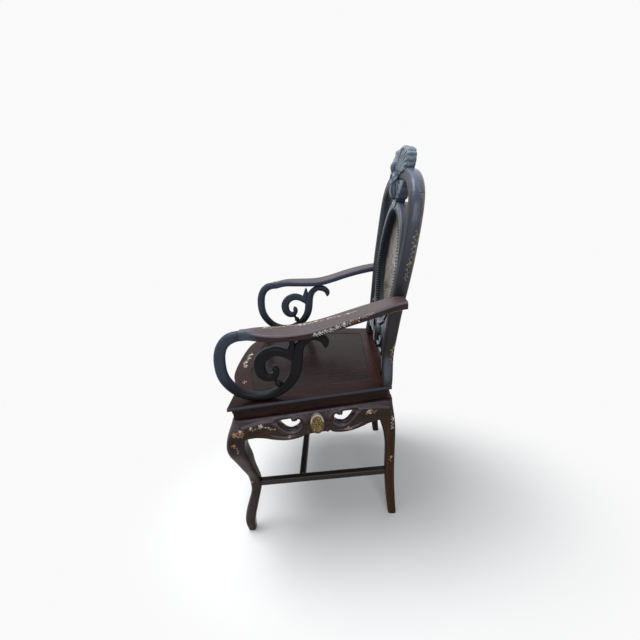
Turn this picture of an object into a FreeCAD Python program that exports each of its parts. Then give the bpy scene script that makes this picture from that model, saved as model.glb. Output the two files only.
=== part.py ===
import FreeCAD
import Part
import math
import os
from FreeCAD import Vector

# A horseshoe back armchair of dark rosewood with a bowed, moulded seat, cabriole front legs,
# scrolled arms and an oval stone panel in the back. Sizes are millimetres.
# X runs across the chair with the sitter's left at +X, the front faces -Y and Z rises from the floor.
# The origin lies on the floor, under the middle of the whole depth. Pieces on the left are drawn
# once and mirrored for the right.

# Seat
seat_height = 480.0
seat_front_width = 588.0
seat_rear_width = 440.0
seat_depth = 438.0
seat_bow = 38.0
rail_width = 53.0
rail_thickness = 24.0
nose_round = 2.5
nose_height = 10.0
moulding_set_back = 9.0
panel_tongue_length = 6.0
panel_tongue_thickness = 6.0
panel_thickness = 13.0
panel_drop = 1.5
panel_gap = 0.8
batten_width = 28.0
batten_height = 15.0
batten_spacing = 150.0
batten_tenon_width = 20.0
batten_tenon_height = 4.0
batten_tenon_length = 10.0
mitre_tongue_length = 22.0
mitre_tongue_width = 14.0
mitre_tongue_thickness = 6.0
front_tongue_from_corner = 34.0
rear_tongue_from_corner = 53.0

# Fits
joint_clearance = 0.15
curved_gap = 0.3
overrun = 60.0

# Waist and aprons
waist_height = 22.0
waist_thickness = 9.0
waist_inset = 10.0
apron_thickness = 20.0
apron_top_inset = 8.0
apron_bulge = 13.0
apron_bulge_start = 0.15
apron_bulge_run = 0.75
apron_depth = 92.0
apron_tenon_length = 14.0
apron_tenon_thickness = 7.0
apron_tenon_height = 30.0
medallion_height = 62.0
medallion_width = 38.0
medallion_rim = 4.0
medallion_drop = 36.0
medallion_stand = 9.0
rim_stand = 5.0

# Legs
leg_block = 40.0
leg_tenon = 16.0
leg_tenon_height = 16.0
front_ankle_inset_x = 56.0
front_ankle_inset_y = 23.4
leg_throw = 37.0
ankle_thickness = 28.0
rear_ankle_inset_x = 15.0
rear_ankle_inset_y = 4.6
rear_leg_throw = 12.0
front_tenon_from_corner = 56.0

# Stretchers
stretcher_height = 172.0
stretcher_width = 20.0
stretcher_tenon = 10.0
cross_stretcher_from_front = 164.0

# Back, drawn flat and then leaned back about the rear edge of the seat
back_lean = 8.6
post_from_corner = 34.0
post_width = 40.0
post_thickness = 32.0
post_seam_height = 477.0
arch_rise = 60.0
crest_rise = 67.0
pendant_fall = 67.0
post_tenon_width = 16.0
post_tenon_depth = 10.0
post_tenon_length = 44.0
post_tenon_from_corner = 30.0
post_tenon_from_rear = 20.0
arch_tongue_width = 16.0
arch_tongue_length = 24.0
oval_foot_height = 110.0
oval_side_gap = 12.05
oval_face = 18.0
oval_thickness = 39.0
oval_behind = 12.0
oval_rabbet = 7.0
panel_recess = 27.0
stone_thickness = 7.0
bead_size = 7.0
bead_length = 13.0
bead_set_back = 2.0
spacer_height = 40.0
spacer_thickness = 20.0
spacer_centre_height = 262.0
crest_half_width = 106.0
crest_thickness = 31.0
crest_relief = 20.0
pendant_half_width = 85.0
pendant_thickness = 26.0
carving_thickness = 20.0

# Arms; a reach is measured forward from the rear edge of the seat
arm_reach = 380.0
arm_behind = 28.0
arm_height = 200.0
arm_rise = 50.0
arm_from_post = 2.9
arm_outer_spread = 96.0
arm_front_share = 0.52
arm_thickness = 18.0
arm_corner_round = 6.0
arm_tenon_length = 14.0
arm_tenon_width = 20.0
arm_tenon_height = 9.0
arm_tenon_drop = 10.0
loop_reach = 442.0
loop_height = 177.0
loop_bar = 28.0
loop_depth = 25.0
loop_from_seat_edge = 22.1
loop_plane_reach = 332.0
loop_toe_in = 0.083
loop_flare = 0.02
loop_length = 195.0
loop_tenon = 12.0
loop_tenon_length = 18.0
scroll_depth = 22.0
ball_radius = 9.5
dowel_radius = 4.0
dowel_length = 22.0
dowel_reach = 353.0

# Worked out from the sizes above
seat_half_front = seat_front_width / 2
seat_half_rear = seat_rear_width / 2
side_slope = (seat_half_front - seat_half_rear) / seat_depth
side_angle = math.atan(side_slope)
lean_radians = math.radians(back_lean)
medallion_share = medallion_drop / apron_depth
bulge_share = math.sin(math.pi * (apron_bulge_start + medallion_share * apron_bulge_run))
front_reach = seat_bow + apron_bulge * bulge_share - apron_top_inset + medallion_stand
arch_centre_height = post_seam_height + arch_rise
crest_top = arch_centre_height + crest_rise
crest_set_back = (post_thickness - crest_thickness) / 2
rear_reach = crest_top * math.sin(lean_radians) - crest_set_back * math.cos(lean_radians)
overall_depth = front_reach + seat_depth + rear_reach
seat_front_y = front_reach - overall_depth / 2
seat_rear_y = seat_front_y + seat_depth
arm_front_y = seat_rear_y - arm_reach
arm_rear_y = seat_rear_y + arm_behind
dowel_y = seat_rear_y - dowel_reach
rail_bottom = seat_height - rail_thickness
shoulder_height = rail_bottom - waist_height
post_half_spread = seat_half_rear - post_from_corner
oval_top = arch_centre_height - pendant_fall
oval_centre_height = (oval_top + oval_foot_height) / 2
oval_half_height = (oval_top - oval_foot_height) / 2
panel_face = oval_thickness - panel_recess
loop_plane_x = seat_half_rear + loop_plane_reach * side_slope - loop_from_seat_edge

# Share of the half width of the seat, and share of the bow reached there
bow_shares = ((0.74, 0.0), (0.64, 0.13), (0.53, 0.42), (0.42, 0.73), (0.3, 0.9), (0.15, 0.98), (0.0, 1.0))
# Height, outward move in x and in y as shares of the throw, thickness in x and in y as shares of the ankle
front_leg_shares = (
    (1.0, 0.59, -0.08, 1.71, 1.71),
    (0.935, 0.76, 0.2, 1.95, 1.75),
    (0.83, 0.9, 0.58, 2.07, 1.82),
    (0.737, 0.92, 0.72, 2.0, 1.75),
    (0.668, 0.84, 0.66, 1.79, 1.58),
    (0.608, 0.65, 0.47, 1.5, 1.36),
    (0.528, 0.32, 0.14, 1.18, 1.13),
    (0.454, 0.05, 0.0, 1.02, 1.02),
    (0.38, -0.05, 0.0, 1.0, 1.0),
    (0.27, 0.08, 0.36, 1.1, 1.1),
    (0.173, 0.27, 0.72, 1.18, 1.18),
    (0.104, 0.45, 0.9, 1.1, 1.1),
    (0.035, 0.51, 0.92, 0.93, 0.93),
    (0.0, 0.5, 0.905, 0.82, 0.82),
)
rear_leg_shares = (
    (1.0, -0.33, -1.33, 1.29, 1.64),
    (0.876, -0.17, -0.83, 1.21, 1.64),
    (0.783, 0.08, -0.25, 1.11, 1.36),
    (0.691, 0.17, 0.04, 1.04, 1.11),
    (0.571, 0.08, 0.08, 1.0, 1.0),
    (0.389, 0.0, 0.0, 1.0, 1.04),
    (0.198, 0.0, 0.2, 0.96, 1.0),
    (0.046, 0.17, 0.55, 0.93, 0.93),
    (0.0, 0.17, 0.7, 0.89, 0.89),
)
# Spread of the post's middle, height, width and thickness as shares of the post's own sizes
post_shares = (
    (1.0, -0.06, 1.0, 0.88),
    (0.943, 0.126, 0.93, 0.91),
    (0.922, 0.252, 0.93, 0.96),
    (0.944, 0.346, 0.95, 1.0),
    (0.978, 0.44, 0.98, 1.04),
    (1.062, 0.574, 1.0, 1.06),
    (1.123, 0.719, 1.03, 1.02),
    (1.139, 0.836, 1.03, 1.0),
    (1.125, 0.927, 1.02, 1.0),
    (1.065, 1.0, 1.0, 1.0),
)
# Share of the post's spread, share of the rise from the seam to the top, share of the post's width
arch_shares = (
    (1.065, 0.0, 1.0),
    (0.962, 0.343, 0.94),
    (0.86, 0.55, 0.88),
    (0.631, 0.823, 0.8),
    (0.343, 0.95, 0.75),
    (0.0, 1.0, 0.73),
)
# Place along the arm, inner edge and outer edge as shares of the spread, rise, and thickness
arm_shares = (
    (0.0, 0.375, 0.66, 0.06, 1.5),
    (0.06, 0.365, 0.74, 0.08, 1.35),
    (0.12, 0.335, 0.91, 0.08, 1.15),
    (0.19, 0.29, 0.99, 0.04, 1.05),
    (0.3, 0.2, 0.98, 0.0, 1.0),
    (0.42, 0.075, 0.905, 0.03, 1.0),
    (0.54, 0.02, 0.855, 0.21, 1.0),
    (0.66, 0.01, 0.835, 0.47, 1.0),
    (0.78, -0.02, 0.79, 0.71, 1.0),
    (0.885, -0.06, 0.69, 0.89, 1.05),
    (1.0, -0.08, 0.56, 1.0, 1.1),
)
# Place behind the front of the loop, height above the seat and width of the bar, as shares of the
# loop's length, height and bar
loop_shares = (
    (0.338, 1.066, 0.96),
    (0.2, 1.043, 0.99),
    (0.095, 0.965, 1.0),
    (0.02, 0.81, 1.02),
    (-0.005, 0.63, 1.03),
    (0.005, 0.45, 1.0),
    (0.075, 0.28, 0.95),
    (0.2, 0.142, 0.86),
    (0.38, 0.0637, 0.77),
    (0.56, 0.0637, 0.77),
    (0.735, 0.136, 0.86),
    (0.875, 0.266, 0.97),
    (0.965, 0.44, 1.04),
    (1.0, 0.633, 1.07),
    (1.035, 0.791, 0.96),
    (1.115, 0.915, 0.79),
    (1.24, 0.97, 0.66),
    (1.355, 0.93, 0.55),
    (1.4, 0.85, 0.4),
    (1.37, 0.775, 0.2),
)
scroll_shares = (
    (0.965, 0.64, 0.7),
    (0.856, 0.74, 0.84),
    (0.736, 0.785, 0.93),
    (0.607, 0.751, 1.0),
    (0.517, 0.65, 1.07),
    (0.498, 0.52, 1.07),
    (0.542, 0.41, 0.93),
    (0.622, 0.373, 0.79),
    (0.69, 0.41, 0.64),
    (0.71, 0.48, 0.5),
    (0.68, 0.524, 0.36),
)
finial_shares = ((0.955, 0.7, 0.85), (0.95, 0.83, 0.75), (0.96, 0.91, 0.35), (0.97, 0.97, 0.07))
neck_shares = ((0.655, 0.36, 0.3), (0.685, 0.31, 0.3), (0.72, 0.25, 0.3))
ball_shares = (0.717, 0.254)


def post_middle(height):
    """Distance of the left post from the chair's middle line, and its half width, at a height up the back."""
    for lower, upper in zip(post_shares, post_shares[1:]):
        low = lower[1] * post_seam_height
        high = upper[1] * post_seam_height
        if low <= height <= high:
            part = (height - low) / (high - low)
            spread = lower[0] + part * (upper[0] - lower[0])
            width = lower[2] + part * (upper[2] - lower[2])
            return spread * post_half_spread, width * post_width / 2


# Worked out from the shape of the post
arm_joint_height = arm_height + arm_rise - arm_tenon_drop
arm_inner_x = sum(post_middle(arm_joint_height)) + arm_from_post
oval_post_x, oval_post_half_width = post_middle(oval_centre_height)
oval_half_width = oval_post_x - oval_post_half_width - oval_side_gap
oval_inner_half_width = oval_half_width - oval_face
oval_inner_half_height = oval_half_height - oval_face
arm_front_x = loop_plane_x + loop_flare * arm_height + loop_toe_in * (arm_reach - loop_plane_reach)
arm_shift = arm_front_x - arm_inner_x - arm_front_share * arm_outer_spread


def block(centre, size):
    """A box on its centre."""
    return Part.makeBox(size.x, size.y, size.z, centre - size / 2)


def grown(size):
    """The size of a mortise round a tenon."""
    return size + Vector(1, 1, 1) * (2 * joint_clearance)


def prism(wire, along):
    """The solid that a flat outline leaves as it moves along a vector."""
    return Part.Face(wire).extrude(along)


def turned(shape, axis, angle, shift):
    """A copy turned about an axis through the origin, in degrees, and then moved."""
    copy = shape.copy()
    copy.rotate(Vector(0, 0, 0), axis, angle)
    copy.translate(shift)
    return copy


def mirrored(shape):
    """The same piece for the chair's right side."""
    return shape.mirror(Vector(0, 0, 0), Vector(1, 0, 0))


def rounded_section(centre, wide, deep, width, depth, radius):
    """A rectangle with round corners, as four arcs and four straights in a fixed order."""
    half_width = width / 2
    half_depth = depth / 2
    inner_width = half_width - radius
    inner_depth = half_depth - radius
    bulge = radius * math.sqrt(0.5)
    arcs = []
    for side, face in ((1, 1), (-1, 1), (-1, -1), (1, -1)):
        on_side = centre + wide * (side * half_width) + deep * (face * inner_depth)
        on_face = centre + wide * (side * inner_width) + deep * (face * half_depth)
        middle = centre + wide * (side * (inner_width + bulge)) + deep * (face * (inner_depth + bulge))
        start, end = (on_side, on_face) if side == face else (on_face, on_side)
        arcs.append(Part.Arc(start, middle, end))
    edges = []
    for arc, following in zip(arcs, arcs[1:] + arcs[:1]):
        edges.append(arc.toShape())
        edges.append(Part.makeLine(arc.EndPoint, following.StartPoint))
    return Part.Wire(edges)


def limb(points, widths, depths, deep, round_share, turns):
    """A carved limb through points, with its section square to its line, or to the turn named for a point."""
    places = [0.0]
    for before, after in zip(points, points[1:]):
        places.append(places[-1] + before.distanceToPoint(after))
    line = Part.BSplineCurve()
    line.interpolate(Points=points, Parameters=places)
    sections = []
    for index, (point, place, width, depth) in enumerate(zip(points, places, widths, depths)):
        along = turns.get(index, line.tangent(place)[0])
        across = (deep - along * deep.dot(along)).normalize()
        wide = across.cross(along)
        radius = round_share * min(width, depth) / 2
        sections.append(rounded_section(point, wide, across, width, depth, radius))
    return Part.makeLoft(sections, True, False)


def flat_outline(strokes, place):
    """Edges of an outline; a stroke of two points is straight, of three an arc, of more a smooth curve."""
    edges = []
    here = strokes[0][0]
    for stroke in strokes:
        points = [place(*point) for point in ([here] + list(stroke) if stroke[0] != here else stroke)]
        here = stroke[-1]
        if len(points) == 2:
            edges.append(Part.makeLine(points[0], points[1]))
        elif len(points) == 3:
            edges.append(Part.Arc(points[0], points[1], points[2]).toShape())
        else:
            curve = Part.BSplineCurve()
            curve.interpolate(Points=points)
            edges.append(curve.toShape())
    return edges


def closed_wire(edges):
    """One closed wire from edges in any order."""
    return Part.Wire(Part.__sortEdges__(edges))


def both_halves(edges):
    """Edges of one half with their mirror image."""
    return edges + [mirrored(edge) for edge in edges]


# The seat

def side_x(y, inset):
    """Half width at a depth, for an outline drawn in from the seat's edge."""
    return seat_half_front - (y - seat_front_y) * side_slope - inset / math.cos(side_angle)


def front_curve_points(inset, height):
    """Points of the bowed front from the sitter's left to right."""
    left = []
    for across, forward in bow_shares:
        left.append(Vector(across * seat_half_front, seat_front_y + inset - forward * seat_bow, height))
    right = [Vector(-point.x, point.y, point.z) for point in reversed(left[:-1])]
    return left + right


def seat_corners(inset, height):
    """Front left and rear left corners of an outline drawn in from the seat's edge."""
    front_y = seat_front_y + inset
    rear_y = seat_rear_y - inset
    front = Vector(side_x(front_y, inset), front_y, height)
    rear = Vector(side_x(rear_y, inset), rear_y, height)
    return front, rear


def bowed_edge(inset, height):
    """The bowed front as one smooth edge, level with its straight shoulders."""
    points = front_curve_points(inset, height)
    curve = Part.BSplineCurve()
    level = Vector(-1, 0, 0)
    curve.interpolate(Points=points, InitialTangent=level, FinalTangent=level)
    return curve.toShape(), points[0], points[-1]


def seat_outline(inset, height):
    """The closed outline of the seat, drawn in from its edge."""
    front_left, rear_left = seat_corners(inset, height)
    front_right = Vector(-front_left.x, front_left.y, height)
    rear_right = Vector(-rear_left.x, rear_left.y, height)
    bow, bow_left, bow_right = bowed_edge(inset, height)
    edges = [
        Part.makeLine(front_left, bow_left),
        bow,
        Part.makeLine(bow_right, front_right),
        Part.makeLine(front_right, rear_right),
        Part.makeLine(rear_right, rear_left),
        Part.makeLine(rear_left, front_left),
    ]
    return Part.Wire(edges)


def seat_prism(inset, bottom, top):
    """A slab with the seat's outline."""
    return prism(seat_outline(inset, bottom), Vector(0, 0, top - bottom))


def seat_band(outer_inset, inner_inset, bottom, top):
    """A level band that follows the seat's outline."""
    return seat_prism(outer_inset, bottom, top).cut(seat_prism(inner_inset, bottom - overrun, top + overrun))


def mitre_wedges(inner_inset, bottom, top):
    """Upright wedges that part a band at its mitred corners: front, rear and left."""
    outer_front, outer_rear = seat_corners(0, bottom)
    inner_front, inner_rear = seat_corners(inner_inset, bottom)
    rise = Vector(0, 0, top - bottom)
    ahead = Vector(0, -overrun - seat_bow, 0)
    behind = Vector(0, overrun, 0)
    aside = Vector(overrun, 0, 0)

    def other(point):
        return Vector(-point.x, point.y, point.z)

    front = [outer_front, inner_front, other(inner_front), other(outer_front)]
    front += [other(outer_front) + ahead, outer_front + ahead, outer_front]
    rear = [outer_rear, inner_rear, other(inner_rear), other(outer_rear)]
    rear += [other(outer_rear) + behind, outer_rear + behind, outer_rear]
    left = [outer_front, inner_front, inner_rear, outer_rear]
    left += [outer_rear + aside, outer_front + aside, outer_front]
    return [prism(Part.makePolygon(points), rise) for points in (front, rear, left)]


def corner_place(corner_index, inner_inset, distance, height):
    """A point on a mitre, measured in from the outer corner, and the mitre's direction."""
    outer = seat_corners(0, height)[corner_index]
    inner = seat_corners(inner_inset, height)[corner_index]
    along = (inner - outer).normalize()
    return outer + along * distance, along


def mitre_tongue(corner_index, clearance):
    """The tongue that keys a mitre, level with the middle of the rails."""
    height = seat_height - rail_thickness / 2
    distance = (front_tongue_from_corner, rear_tongue_from_corner)[corner_index]
    place, along = corner_place(corner_index, rail_width, distance, height)
    length = mitre_tongue_length + 2 * clearance
    width = mitre_tongue_width + 2 * clearance
    thickness = mitre_tongue_thickness + 2 * clearance
    tongue = block(Vector(0, 0, 0), Vector(width, length, thickness))
    angle = math.degrees(math.atan2(along.y, along.x))
    return turned(tongue, Vector(0, 0, 1), angle, place)


def seat_slab():
    """The moulded slab from which the four rails are parted."""
    stations = (
        (nose_round, seat_height),
        (nose_round / 4, seat_height - nose_round / 3),
        (0, seat_height - nose_round),
        (0, seat_height - nose_height),
        (moulding_set_back / 3, seat_height - nose_height - nose_round),
        (moulding_set_back * 0.9, seat_height - nose_height - 2 * nose_round),
        (moulding_set_back, rail_bottom),
    )
    return Part.makeLoft([seat_outline(inset, height) for inset, height in stations], True, True)


def seat_panel():
    """The floating panel, tongued all round into the rails."""
    top = seat_height - panel_drop
    bottom = top - panel_thickness
    field = seat_prism(rail_width + panel_gap, bottom, top)
    tongue = seat_prism(rail_width - panel_tongue_length, bottom, bottom + panel_tongue_thickness)
    return field.fuse(tongue).removeSplitter()


def panel_space():
    """What the panel needs cut out of the rails."""
    top = seat_height - panel_drop
    bottom = top - panel_thickness
    opening = seat_prism(rail_width, rail_bottom - overrun, seat_height + overrun)
    groove = seat_prism(rail_width - panel_tongue_length - curved_gap, bottom - joint_clearance,
                        bottom + panel_tongue_thickness + joint_clearance)
    return opening.fuse(groove)


def batten(sign):
    """A batten under the panel with a tenon into the front and the rear rail."""
    top = seat_height - panel_drop - panel_thickness
    x = sign * batten_spacing / 2
    field = seat_prism(rail_width + curved_gap, top - batten_height, top)
    whole = Vector(batten_width, overall_depth, batten_height)
    body = block(Vector(x, 0, top - batten_height / 2), whole).common(field)
    tenon_field = seat_prism(rail_width - batten_tenon_length, rail_bottom, top)
    tenon_size = Vector(batten_tenon_width, overall_depth, batten_tenon_height)
    tenon_centre = Vector(x, 0, rail_bottom + batten_tenon_height)
    tenon = block(tenon_centre, tenon_size).common(tenon_field)
    mortise_field = seat_prism(rail_width - batten_tenon_length - curved_gap, rail_bottom, top)
    mortise = block(tenon_centre, grown(tenon_size)).common(mortise_field)
    return body.fuse(tenon).removeSplitter(), mortise


def seat_rails():
    """Front, rear and left rails, keyed at their mitres and grooved for the panel."""
    slab = seat_slab().cut(panel_space())
    wedges = mitre_wedges(rail_width, rail_bottom - overrun, seat_height + overrun)
    front, rear, left = [slab.common(wedge) for wedge in wedges]
    for corner_index in (0, 1):
        tongue = mitre_tongue(corner_index, 0)
        socket = mitre_tongue(corner_index, joint_clearance)
        left = left.cut(socket)
        both = [tongue, mirrored(tongue)]
        if corner_index == 0:
            front = front.fuse(both)
        else:
            rear = rear.fuse(both)
    return front, rear, left


def waist_boards():
    """Front, rear and left boards of the plain waist under the seat."""
    inner = waist_inset + waist_thickness
    band = seat_band(waist_inset, inner, shoulder_height, rail_bottom)
    wedges = mitre_wedges(inner, shoulder_height - overrun, rail_bottom + overrun)
    return [band.common(wedge) for wedge in wedges]


# Legs

def leg_stack(shares, ankle, throw, rearward):
    """A leg through level sections; outward is away from the middle of the seat."""
    sections = []
    for height, out_x, out_y, thick_x, thick_y in shares:
        centre = Vector(ankle.x + out_x * throw, ankle.y + rearward * out_y * throw, height * shoulder_height)
        width = thick_x * ankle_thickness
        depth = thick_y * ankle_thickness
        radius = min(width, depth) / 4
        sections.append(rounded_section(centre, Vector(1, 0, 0), Vector(0, 1, 0), width, depth, radius))
    return Part.makeLoft(sections, True, False)


def leg_head(corner_index):
    """The square head of a leg behind the waist, with its corner on the waist's inner faces."""
    inset = waist_inset + waist_thickness
    corner = seat_corners(inset, shoulder_height)[corner_index]
    inward = 1 if corner_index == 0 else -1
    size = Vector(leg_block, leg_block, waist_height)
    middle = shoulder_height + waist_height / 2
    centre = Vector(corner.x - leg_block / 2, corner.y + inward * leg_block / 2, middle)
    return block(centre, size).common(seat_prism(inset, shoulder_height, rail_bottom))


def front_tenon(clearance):
    """The tenon of a front leg in the seat's corner."""
    place, along = corner_place(0, rail_width, front_tenon_from_corner, rail_bottom)
    size = Vector(leg_tenon + 2 * clearance, leg_tenon + 2 * clearance, leg_tenon_height + clearance)
    return block(place + Vector(0, 0, size.z / 2), size)


def front_leg():
    """The left front leg with its head and tenon."""
    ankle = Vector(seat_half_front - front_ankle_inset_x, seat_front_y + front_ankle_inset_y, 0)
    body = leg_stack(front_leg_shares, ankle, leg_throw, -1)
    return body.fuse([leg_head(0), front_tenon(0)]).removeSplitter()


def rear_leg():
    """The left rear leg with its head, which takes the back post's tenon."""
    ankle = Vector(seat_half_rear - rear_ankle_inset_x, seat_rear_y - rear_ankle_inset_y, 0)
    body = leg_stack(rear_leg_shares, ankle, rear_leg_throw, 1)
    return body.fuse(leg_head(1)).removeSplitter()


def stretcher_line(shares, share_height, ankle, throw, rearward):
    """The middle of a leg at the stretchers, between the two sections round it."""
    for upper, lower in zip(shares, shares[1:]):
        if upper[0] >= share_height >= lower[0]:
            part = (share_height - lower[0]) / (upper[0] - lower[0])
            out_x = lower[1] + part * (upper[1] - lower[1])
            out_y = lower[2] + part * (upper[2] - lower[2])
            return Vector(ankle.x + out_x * throw, ankle.y + rearward * out_y * throw, stretcher_height)


def bar(start, end, size, radius):
    """A straight bar with rounded edges."""
    along = (end - start).normalize()
    up = Vector(0, 0, 1)
    wide = up.cross(along)
    ends = [rounded_section(point, wide, up, size, size, radius) for point in (start, end)]
    return Part.makeLoft(ends, True, True)


def stretcher_ends():
    """Middles of the left legs at the height of the stretchers."""
    share_height = stretcher_height / shoulder_height
    front_ankle = Vector(seat_half_front - front_ankle_inset_x, seat_front_y + front_ankle_inset_y, 0)
    rear_ankle = Vector(seat_half_rear - rear_ankle_inset_x, seat_rear_y - rear_ankle_inset_y, 0)
    front = stretcher_line(front_leg_shares, share_height, front_ankle, leg_throw, -1)
    rear = stretcher_line(rear_leg_shares, share_height, rear_ankle, rear_leg_throw, 1)
    return front, rear


# Aprons

def apron_inset(share):
    """How far the apron's face lies inside the seat's edge, at a share of its depth from the top."""
    run = min(1.0, apron_bulge_start + share * apron_bulge_run)
    return apron_top_inset - apron_bulge * math.sin(math.pi * run)


apron_level_shares = (0.0, 0.12, 0.28, 0.45, 0.65, 0.85, 1.0)
# Half of the lower edge, from the middle out: share of the half length and share of the depth
apron_edge_shares = (
    ((0.0, 0.76), (0.105, 0.76)),
    ((0.135, 0.79), (0.16, 0.7)),
    ((0.2, 0.82), (0.29, 0.89), (0.4, 0.91), (0.5, 0.87), (0.61, 0.78), (0.72, 0.67), (0.84, 0.62),
     (1.0, 0.72)),
)
# The pierced eye of the scroll, with a point outside and a cusp above
apron_eye_shares = (
    ((0.52, 0.27), (0.46, 0.215), (0.37, 0.24), (0.34, 0.3)),
    ((0.31, 0.225), (0.26, 0.25), (0.245, 0.35), (0.27, 0.46), (0.33, 0.53), (0.41, 0.53), (0.48, 0.43),
     (0.52, 0.27)),
)


def apron_cutter(half_length, place, through):
    """What is kept of a plain apron: the scrolled lower edge less the pierced eyes."""
    def at(along, down):
        return place(along * half_length, shoulder_height - down * apron_depth)

    lower = flat_outline(apron_edge_shares, at)
    end = at(1.0, apron_edge_shares[-1][-1][1])
    top = at(1.0, 0.0)
    middle_top = at(0.0, 0.0)
    lower.append(Part.makeLine(end, top))
    lower.append(Part.makeLine(top, middle_top))
    lower.append(Part.makeLine(middle_top, at(0.0, apron_edge_shares[0][0][1])))
    half = prism(closed_wire(lower), through)
    eye = prism(closed_wire(flat_outline(apron_eye_shares, at)), through)
    return half.cut(eye)


def side_band(bottom, top):
    """The bulging band of the left side before its edge is sawn."""
    sections = []
    for share in apron_level_shares:
        height = top - share * (top - bottom)
        outer = apron_inset(share)
        inner = outer + apron_thickness
        corners = [(seat_front_y, outer), (seat_rear_y, outer), (seat_rear_y, inner), (seat_front_y, inner)]
        points = [Vector(side_x(y, inset), y, height) for y, inset in corners]
        sections.append(Part.makePolygon(points + points[:1]))
    return Part.makeLoft(sections, True, False)


def rear_band(bottom, top):
    """The bulging band of the rear."""
    sections = []
    for share in apron_level_shares:
        height = top - share * (top - bottom)
        outer = apron_inset(share) / 2 + apron_top_inset / 2
        inner = outer + apron_thickness
        half = seat_half_rear
        corners = [(half, outer), (-half, outer), (-half, inner), (half, inner)]
        points = [Vector(x, seat_rear_y - inset, height) for x, inset in corners]
        sections.append(Part.makePolygon(points + points[:1]))
    return Part.makeLoft(sections, True, False)


def front_band(bottom, top):
    """The bulging band that follows the bowed front."""
    sections = []
    for share in apron_level_shares:
        height = top - share * (top - bottom)
        outer = apron_inset(share)
        inner = outer + apron_thickness
        outer_bow, outer_left, outer_right = bowed_edge(outer, height)
        inner_bow, inner_left, inner_right = bowed_edge(inner, height)
        end_left = Vector(seat_half_front, outer_left.y, height)
        back_left = Vector(seat_half_front, inner_left.y, height)
        end_right = Vector(-seat_half_front, outer_right.y, height)
        back_right = Vector(-seat_half_front, inner_right.y, height)
        edges = [
            Part.makeLine(end_left, outer_left),
            outer_bow,
            Part.makeLine(outer_right, end_right),
            Part.makeLine(end_right, back_right),
            Part.makeLine(back_right, inner_right),
            inner_bow,
            Part.makeLine(inner_left, back_left),
            Part.makeLine(back_left, end_left),
        ]
        sections.append(Part.Wire(Part.__sortEdges__(edges)))
    return Part.makeLoft(sections, True, False)


def side_apron_middle():
    """Where the middle of a side apron lies, half way between the two left legs."""
    front, rear = stretcher_ends()
    return (front.y + rear.y) / 2, (rear.y - front.y) / 2


def side_apron():
    """The left apron before it is fitted to the legs."""
    middle, half = side_apron_middle()
    far = seat_half_front + overrun

    def rearward(along, height):
        return Vector(far, middle + along, height)

    def forward(along, height):
        return Vector(far, middle - along, height)

    through = Vector(-far, 0, 0)
    kept = apron_cutter(half, rearward, through).fuse(apron_cutter(half, forward, through))
    return side_band(shoulder_height - apron_depth, shoulder_height).common(kept).removeSplitter()


def front_apron():
    """The front apron before it is fitted to the legs."""
    half = seat_half_front - front_ankle_inset_x
    ahead = seat_front_y - seat_bow - overrun

    def place(across, height):
        return Vector(across, ahead, height)

    half_kept = apron_cutter(half, place, Vector(0, 2 * overrun + seat_bow, 0))
    kept = half_kept.fuse(mirrored(half_kept))
    return front_band(shoulder_height - apron_depth, shoulder_height).common(kept).removeSplitter()


rear_edge_shares = (((0.0, 0.42), (0.2, 0.43), (0.45, 0.5), (0.65, 0.56), (0.8, 0.5), (1.0, 0.62)),)


def rear_apron():
    """The rear apron, which has a plain wavy edge."""
    half = seat_half_rear - rear_ankle_inset_x

    def at(across, down):
        return Vector(across * half, seat_rear_y + overrun, shoulder_height - down * apron_depth)

    edges = flat_outline(rear_edge_shares, at)
    edges = both_halves(edges)
    end = at(1.0, rear_edge_shares[0][-1][1])
    top = at(1.0, 0.0)
    edges.append(Part.makeLine(end, top))
    edges.append(Part.makeLine(top, at(-1.0, 0.0)))
    edges.append(Part.makeLine(at(-1.0, 0.0), at(-1.0, rear_edge_shares[0][-1][1])))
    kept = prism(closed_wire(edges), Vector(0, -2 * overrun, 0))
    return rear_band(shoulder_height - apron_depth, shoulder_height).common(kept).removeSplitter()


def ellipse(centre, tall, wide, half_height, half_width):
    """An upright oval wire."""
    curve = Part.Ellipse(centre + tall * half_height, centre + wide * half_width, centre)
    return Part.Wire([curve.toShape()])


# How far out and how wide the dome of a medallion is, as shares of its stand and of its own size
medallion_dome_shares = ((0.5, 1.0), (0.85, 0.8), (1.0, 0.35))


def medallion(face, outward, across):
    """An oval boss and the rim round it, on a point of the apron's face."""
    up = Vector(0, 0, 1)
    half_height = medallion_height / 2
    half_width = medallion_width / 2
    boss_height = half_height - medallion_rim
    boss_width = half_width - medallion_rim
    bury = apron_thickness / 2
    ovals = [ellipse(face - outward * bury, up, across, boss_height, boss_width)]
    for reach, share in medallion_dome_shares:
        here = face + outward * (reach * medallion_stand)
        ovals.append(ellipse(here, up, across, boss_height * share, boss_width * share))
    boss = Part.makeLoft(ovals, True, True)
    start = face - outward * bury
    along = outward * (bury + rim_stand)
    rim = prism(ellipse(start, up, across, half_height, half_width), along)
    hole = prism(ellipse(start, up, across, boss_height, boss_width), along)
    return boss, rim.cut(hole)


# The back, drawn flat: x across, height up the back, and forward towards the sitter

def on_back(x, height, forward=0.0):
    """A point of the back before it is leaned."""
    return Vector(x, -forward, height)


def leaned(shape):
    """A piece of the back, leaned and set on the rear of the seat."""
    return turned(shape, Vector(1, 0, 0), -back_lean, Vector(0, seat_rear_y, seat_height))


def seam_direction():
    """The line of the back's outline where the left post meets the arch, drawn flat."""
    before = post_shares[-2]
    after = arch_shares[1]
    low = on_back(before[0] * post_half_spread, before[1] * post_seam_height)
    high = on_back(after[0] * post_half_spread, post_seam_height + after[1] * arch_rise)
    return (high - low).normalize()


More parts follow.
